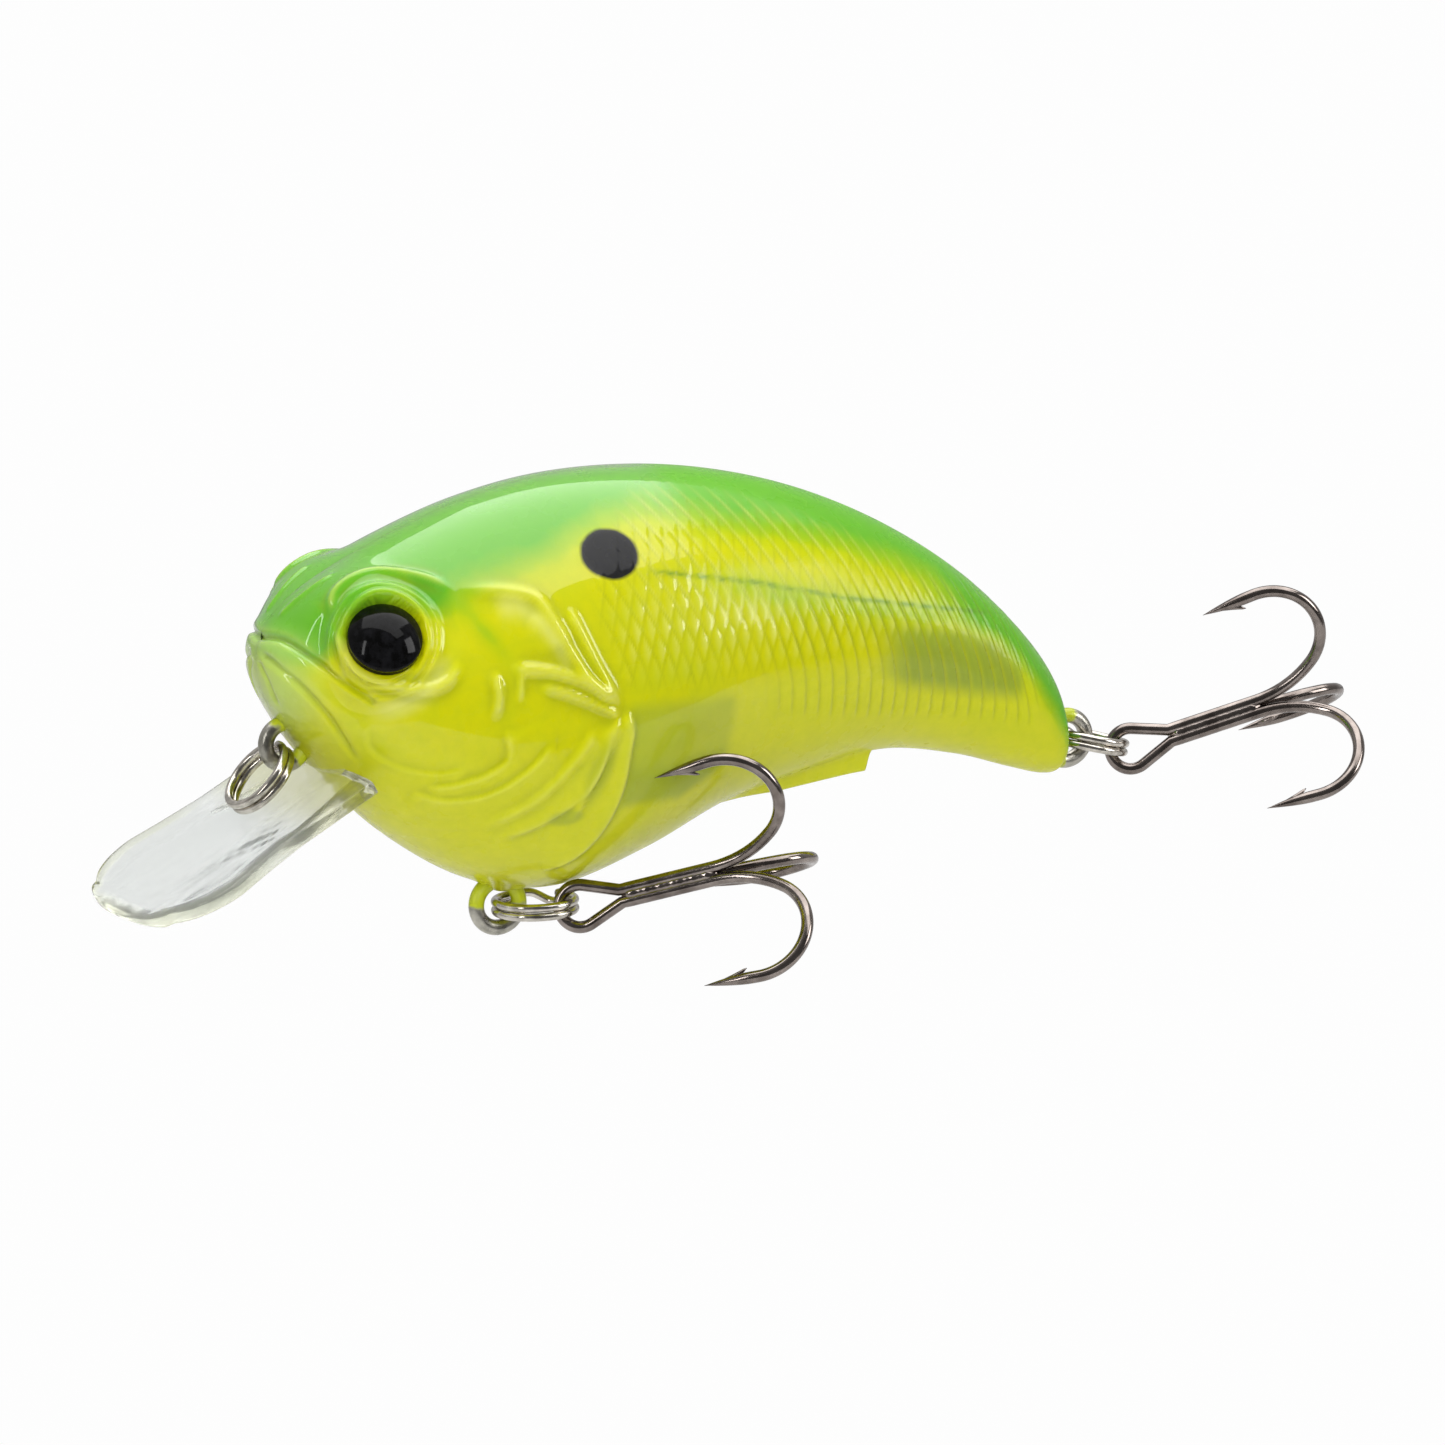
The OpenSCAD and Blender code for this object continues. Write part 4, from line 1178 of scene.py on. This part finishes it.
def softbox(name, at, aim, size_x, size_y, power):
    """A panel that faces a point of the lure."""
    at, aim = Vector(at), Vector(aim)
    facing = (at - aim).to_track_quat("Z", "Y").to_matrix().to_4x4()
    return light_panel(name, Matrix.Translation(at * MM) @ facing, size_x, size_y, power)


def studio():
    """Lights from above, both ends and the front, the surroundings, and the table."""
    # From straight above the shoulder to well behind the lure
    overhead("overhead_bank", (167, 73, 600), 820, 870, 5.6)
    shoulder = overhead("shoulder_bank", (345, -520, 600), 300, 360, 0.8)
    right = softbox("right_box", (420, -330, 150), (20, 0, 0), 200, 260, 1.0)
    left = softbox("left_strip", (-420, -200, 160), (10, 0, 0), 50, 260, 0.35)
    for mirrored_only in (shoulder, right, left):
        mirrored_only.visible_diffuse = False
    fill = softbox("front_fill", (-260, -700, 260), (28, 0, 0), 700, 500, 5.2)
    fill.visible_glossy = False
    fill.visible_transmission = False
    world()
    floor()


def world():
    """White where the camera sees it; for everything else a room that is darker at the front."""
    n = Nodes("studio", "worlds")
    bpy.context.scene.world = n.owner
    seen = n.tree.nodes["Background"]
    room = n.new("ShaderNodeBackground")
    for shader in (seen, room):
        n.put((1, 1, 1), shader.inputs["Color"])
    towards = n.new("ShaderNodeVectorMath", operation="DOT_PRODUCT")
    n.put(n.new("ShaderNodeTexCoord").outputs["Generated"], towards.inputs[0])
    n.put((0.1, 0.95, 0.3), towards.inputs[1])
    n.put(n.remap(towards.outputs["Value"], -0.5, 0.6, 0.12, 0.5), room.inputs["Strength"])
    n.put(WHITE_LEVEL, seen.inputs["Strength"])
    rays = n.new("ShaderNodeLightPath").outputs
    clear = n.math("MAXIMUM", rays["Is Camera Ray"], rays["Is Transmission Ray"])
    n.choose(clear, room.outputs[0], seen.outputs[0], "World Output")


def floor():
    """A pale table from just in front of the lure to far behind it, with a glow that hides its shadows."""
    low, front, reach = -75 * MM, -160 * MM, 6.0
    corners = [(-reach, front, low), (reach, front, low), (reach, reach, low), (-reach, reach, low)]
    mesh = bpy.data.meshes.new("studio_floor")
    mesh.from_pydata(corners, [], [(0, 1, 2, 3)])
    obj = bpy.data.objects.new("studio_floor", mesh)
    bpy.context.scene.collection.objects.link(obj)
    n = Nodes("pale_floor")
    grey = n.mix(n.remap(n.noise(3, 2), 0.3, 0.7), (0.58, 0.58, 0.58), (0.62, 0.62, 0.62))
    n.set(Base_Color=grey, Roughness=1.0, Specular_IOR_Level=0.0)
    rays = n.new("ShaderNodeLightPath").outputs
    seen, through = rays["Is Camera Ray"], rays["Is Transmission Ray"]
    glow = n.new("ShaderNodeEmission")
    level = n.math("ADD", n.math("MULTIPLY", seen, WHITE_LEVEL), n.math("MULTIPLY", through, 0.80))
    n.put(level, glow.inputs["Strength"])
    clear = n.math("MAXIMUM", seen, through)
    n.choose(clear, n.shader.outputs[0], glow.outputs[0], "Material Output")
    mesh.materials.append(n.owner)


def camera():
    """The view of the photograph: from the nose side of the left flank, a little from above."""
    azimuth, elevation, distance = math.radians(-28), math.radians(10), 480
    target = Vector((29.65, -2.12, -0.77))
    level = math.cos(elevation)
    back = Vector((math.sin(azimuth) * level, -math.cos(azimuth) * level, math.sin(elevation)))
    data = bpy.data.cameras.new("view")
    data.lens, data.sensor_width = 187.75, 36
    data.clip_start, data.clip_end = 0.01, 50
    obj = bpy.data.objects.new("view", data)
    obj.location = (target + back * distance) * MM
    obj.rotation_euler = back.to_track_quat("Z", "Y").to_euler()
    bpy.context.scene.collection.objects.link(obj)
    bpy.context.scene.camera = obj


# ---------------------------------------------------------------- the lure

def build():
    """Makes every piece, and gives the CAD's own eye discs and balls their materials."""
    materials = make_materials()
    wire, metal = materials["wire"], materials["ring"]
    body_half(-1, "shell_skin_left", "body_shell_left", materials["shell"])
    body_half(1, "shell_skin_right", "body_shell_right", materials["shell"])
    eye_dome(-1, "eye_left", "left_eye_dome", materials["eye"])
    eye_dome(1, "eye_right", "right_eye_dome", materials["eye"])
    lip(materials["lip"])
    hanger("tie_wire", "line_tie_wire", turn(y=-30), 1.3, 7, wire)
    hanger("belly_wire", "belly_hanger_wire", move(*BELLY_AT) @ turn(y=-90), 1.5, 6.4, wire)
    hanger("tail_wire", "tail_hanger_wire", move(*TAIL_AT) @ turn(y=-166), 1.5, 5.4, wire)
    # Each turn puts the cut ends of the coil where the photograph shows them
    tie_place = TIE_FRAME @ turn(z=150)
    split_ring("tie_split_ring", "line_tie_ring", "line_ring", tie_place, TIE_MEAN_R, metal)
    for word, place, angle in (("belly", BELLY_RING, 55), ("tail", TAIL_RING, 80)):
        ring = word + "_ring"
        split_ring(word + "_split_ring", ring, ring, place @ turn(z=angle), SPLIT_MEAN_R, metal)
    belly = hook_place(BELLY_RING, 43.5, 35.5, 13.7, 10)
    tail = hook_place(TAIL_RING, 23, 30.5, 30, 6)
    for body, place, word in (("belly_hook", belly, "belly"), ("tail_hook", tail, "tail")):
        hook(word + "_treble_double", word + "_double_hook", body, place, double_hook(), materials["hook"])
        hook(word + "_treble_single", word + "_single_hook", body, place, single_hook(), materials["hook"])
    for node, key in PLAIN_NODES.items():
        mesh = frame["nodes"][node].data
        mesh.materials.clear()
        mesh.materials.append(materials[key])


build()
studio()
camera()
bpy.context.scene.view_settings.view_transform = "Standard"
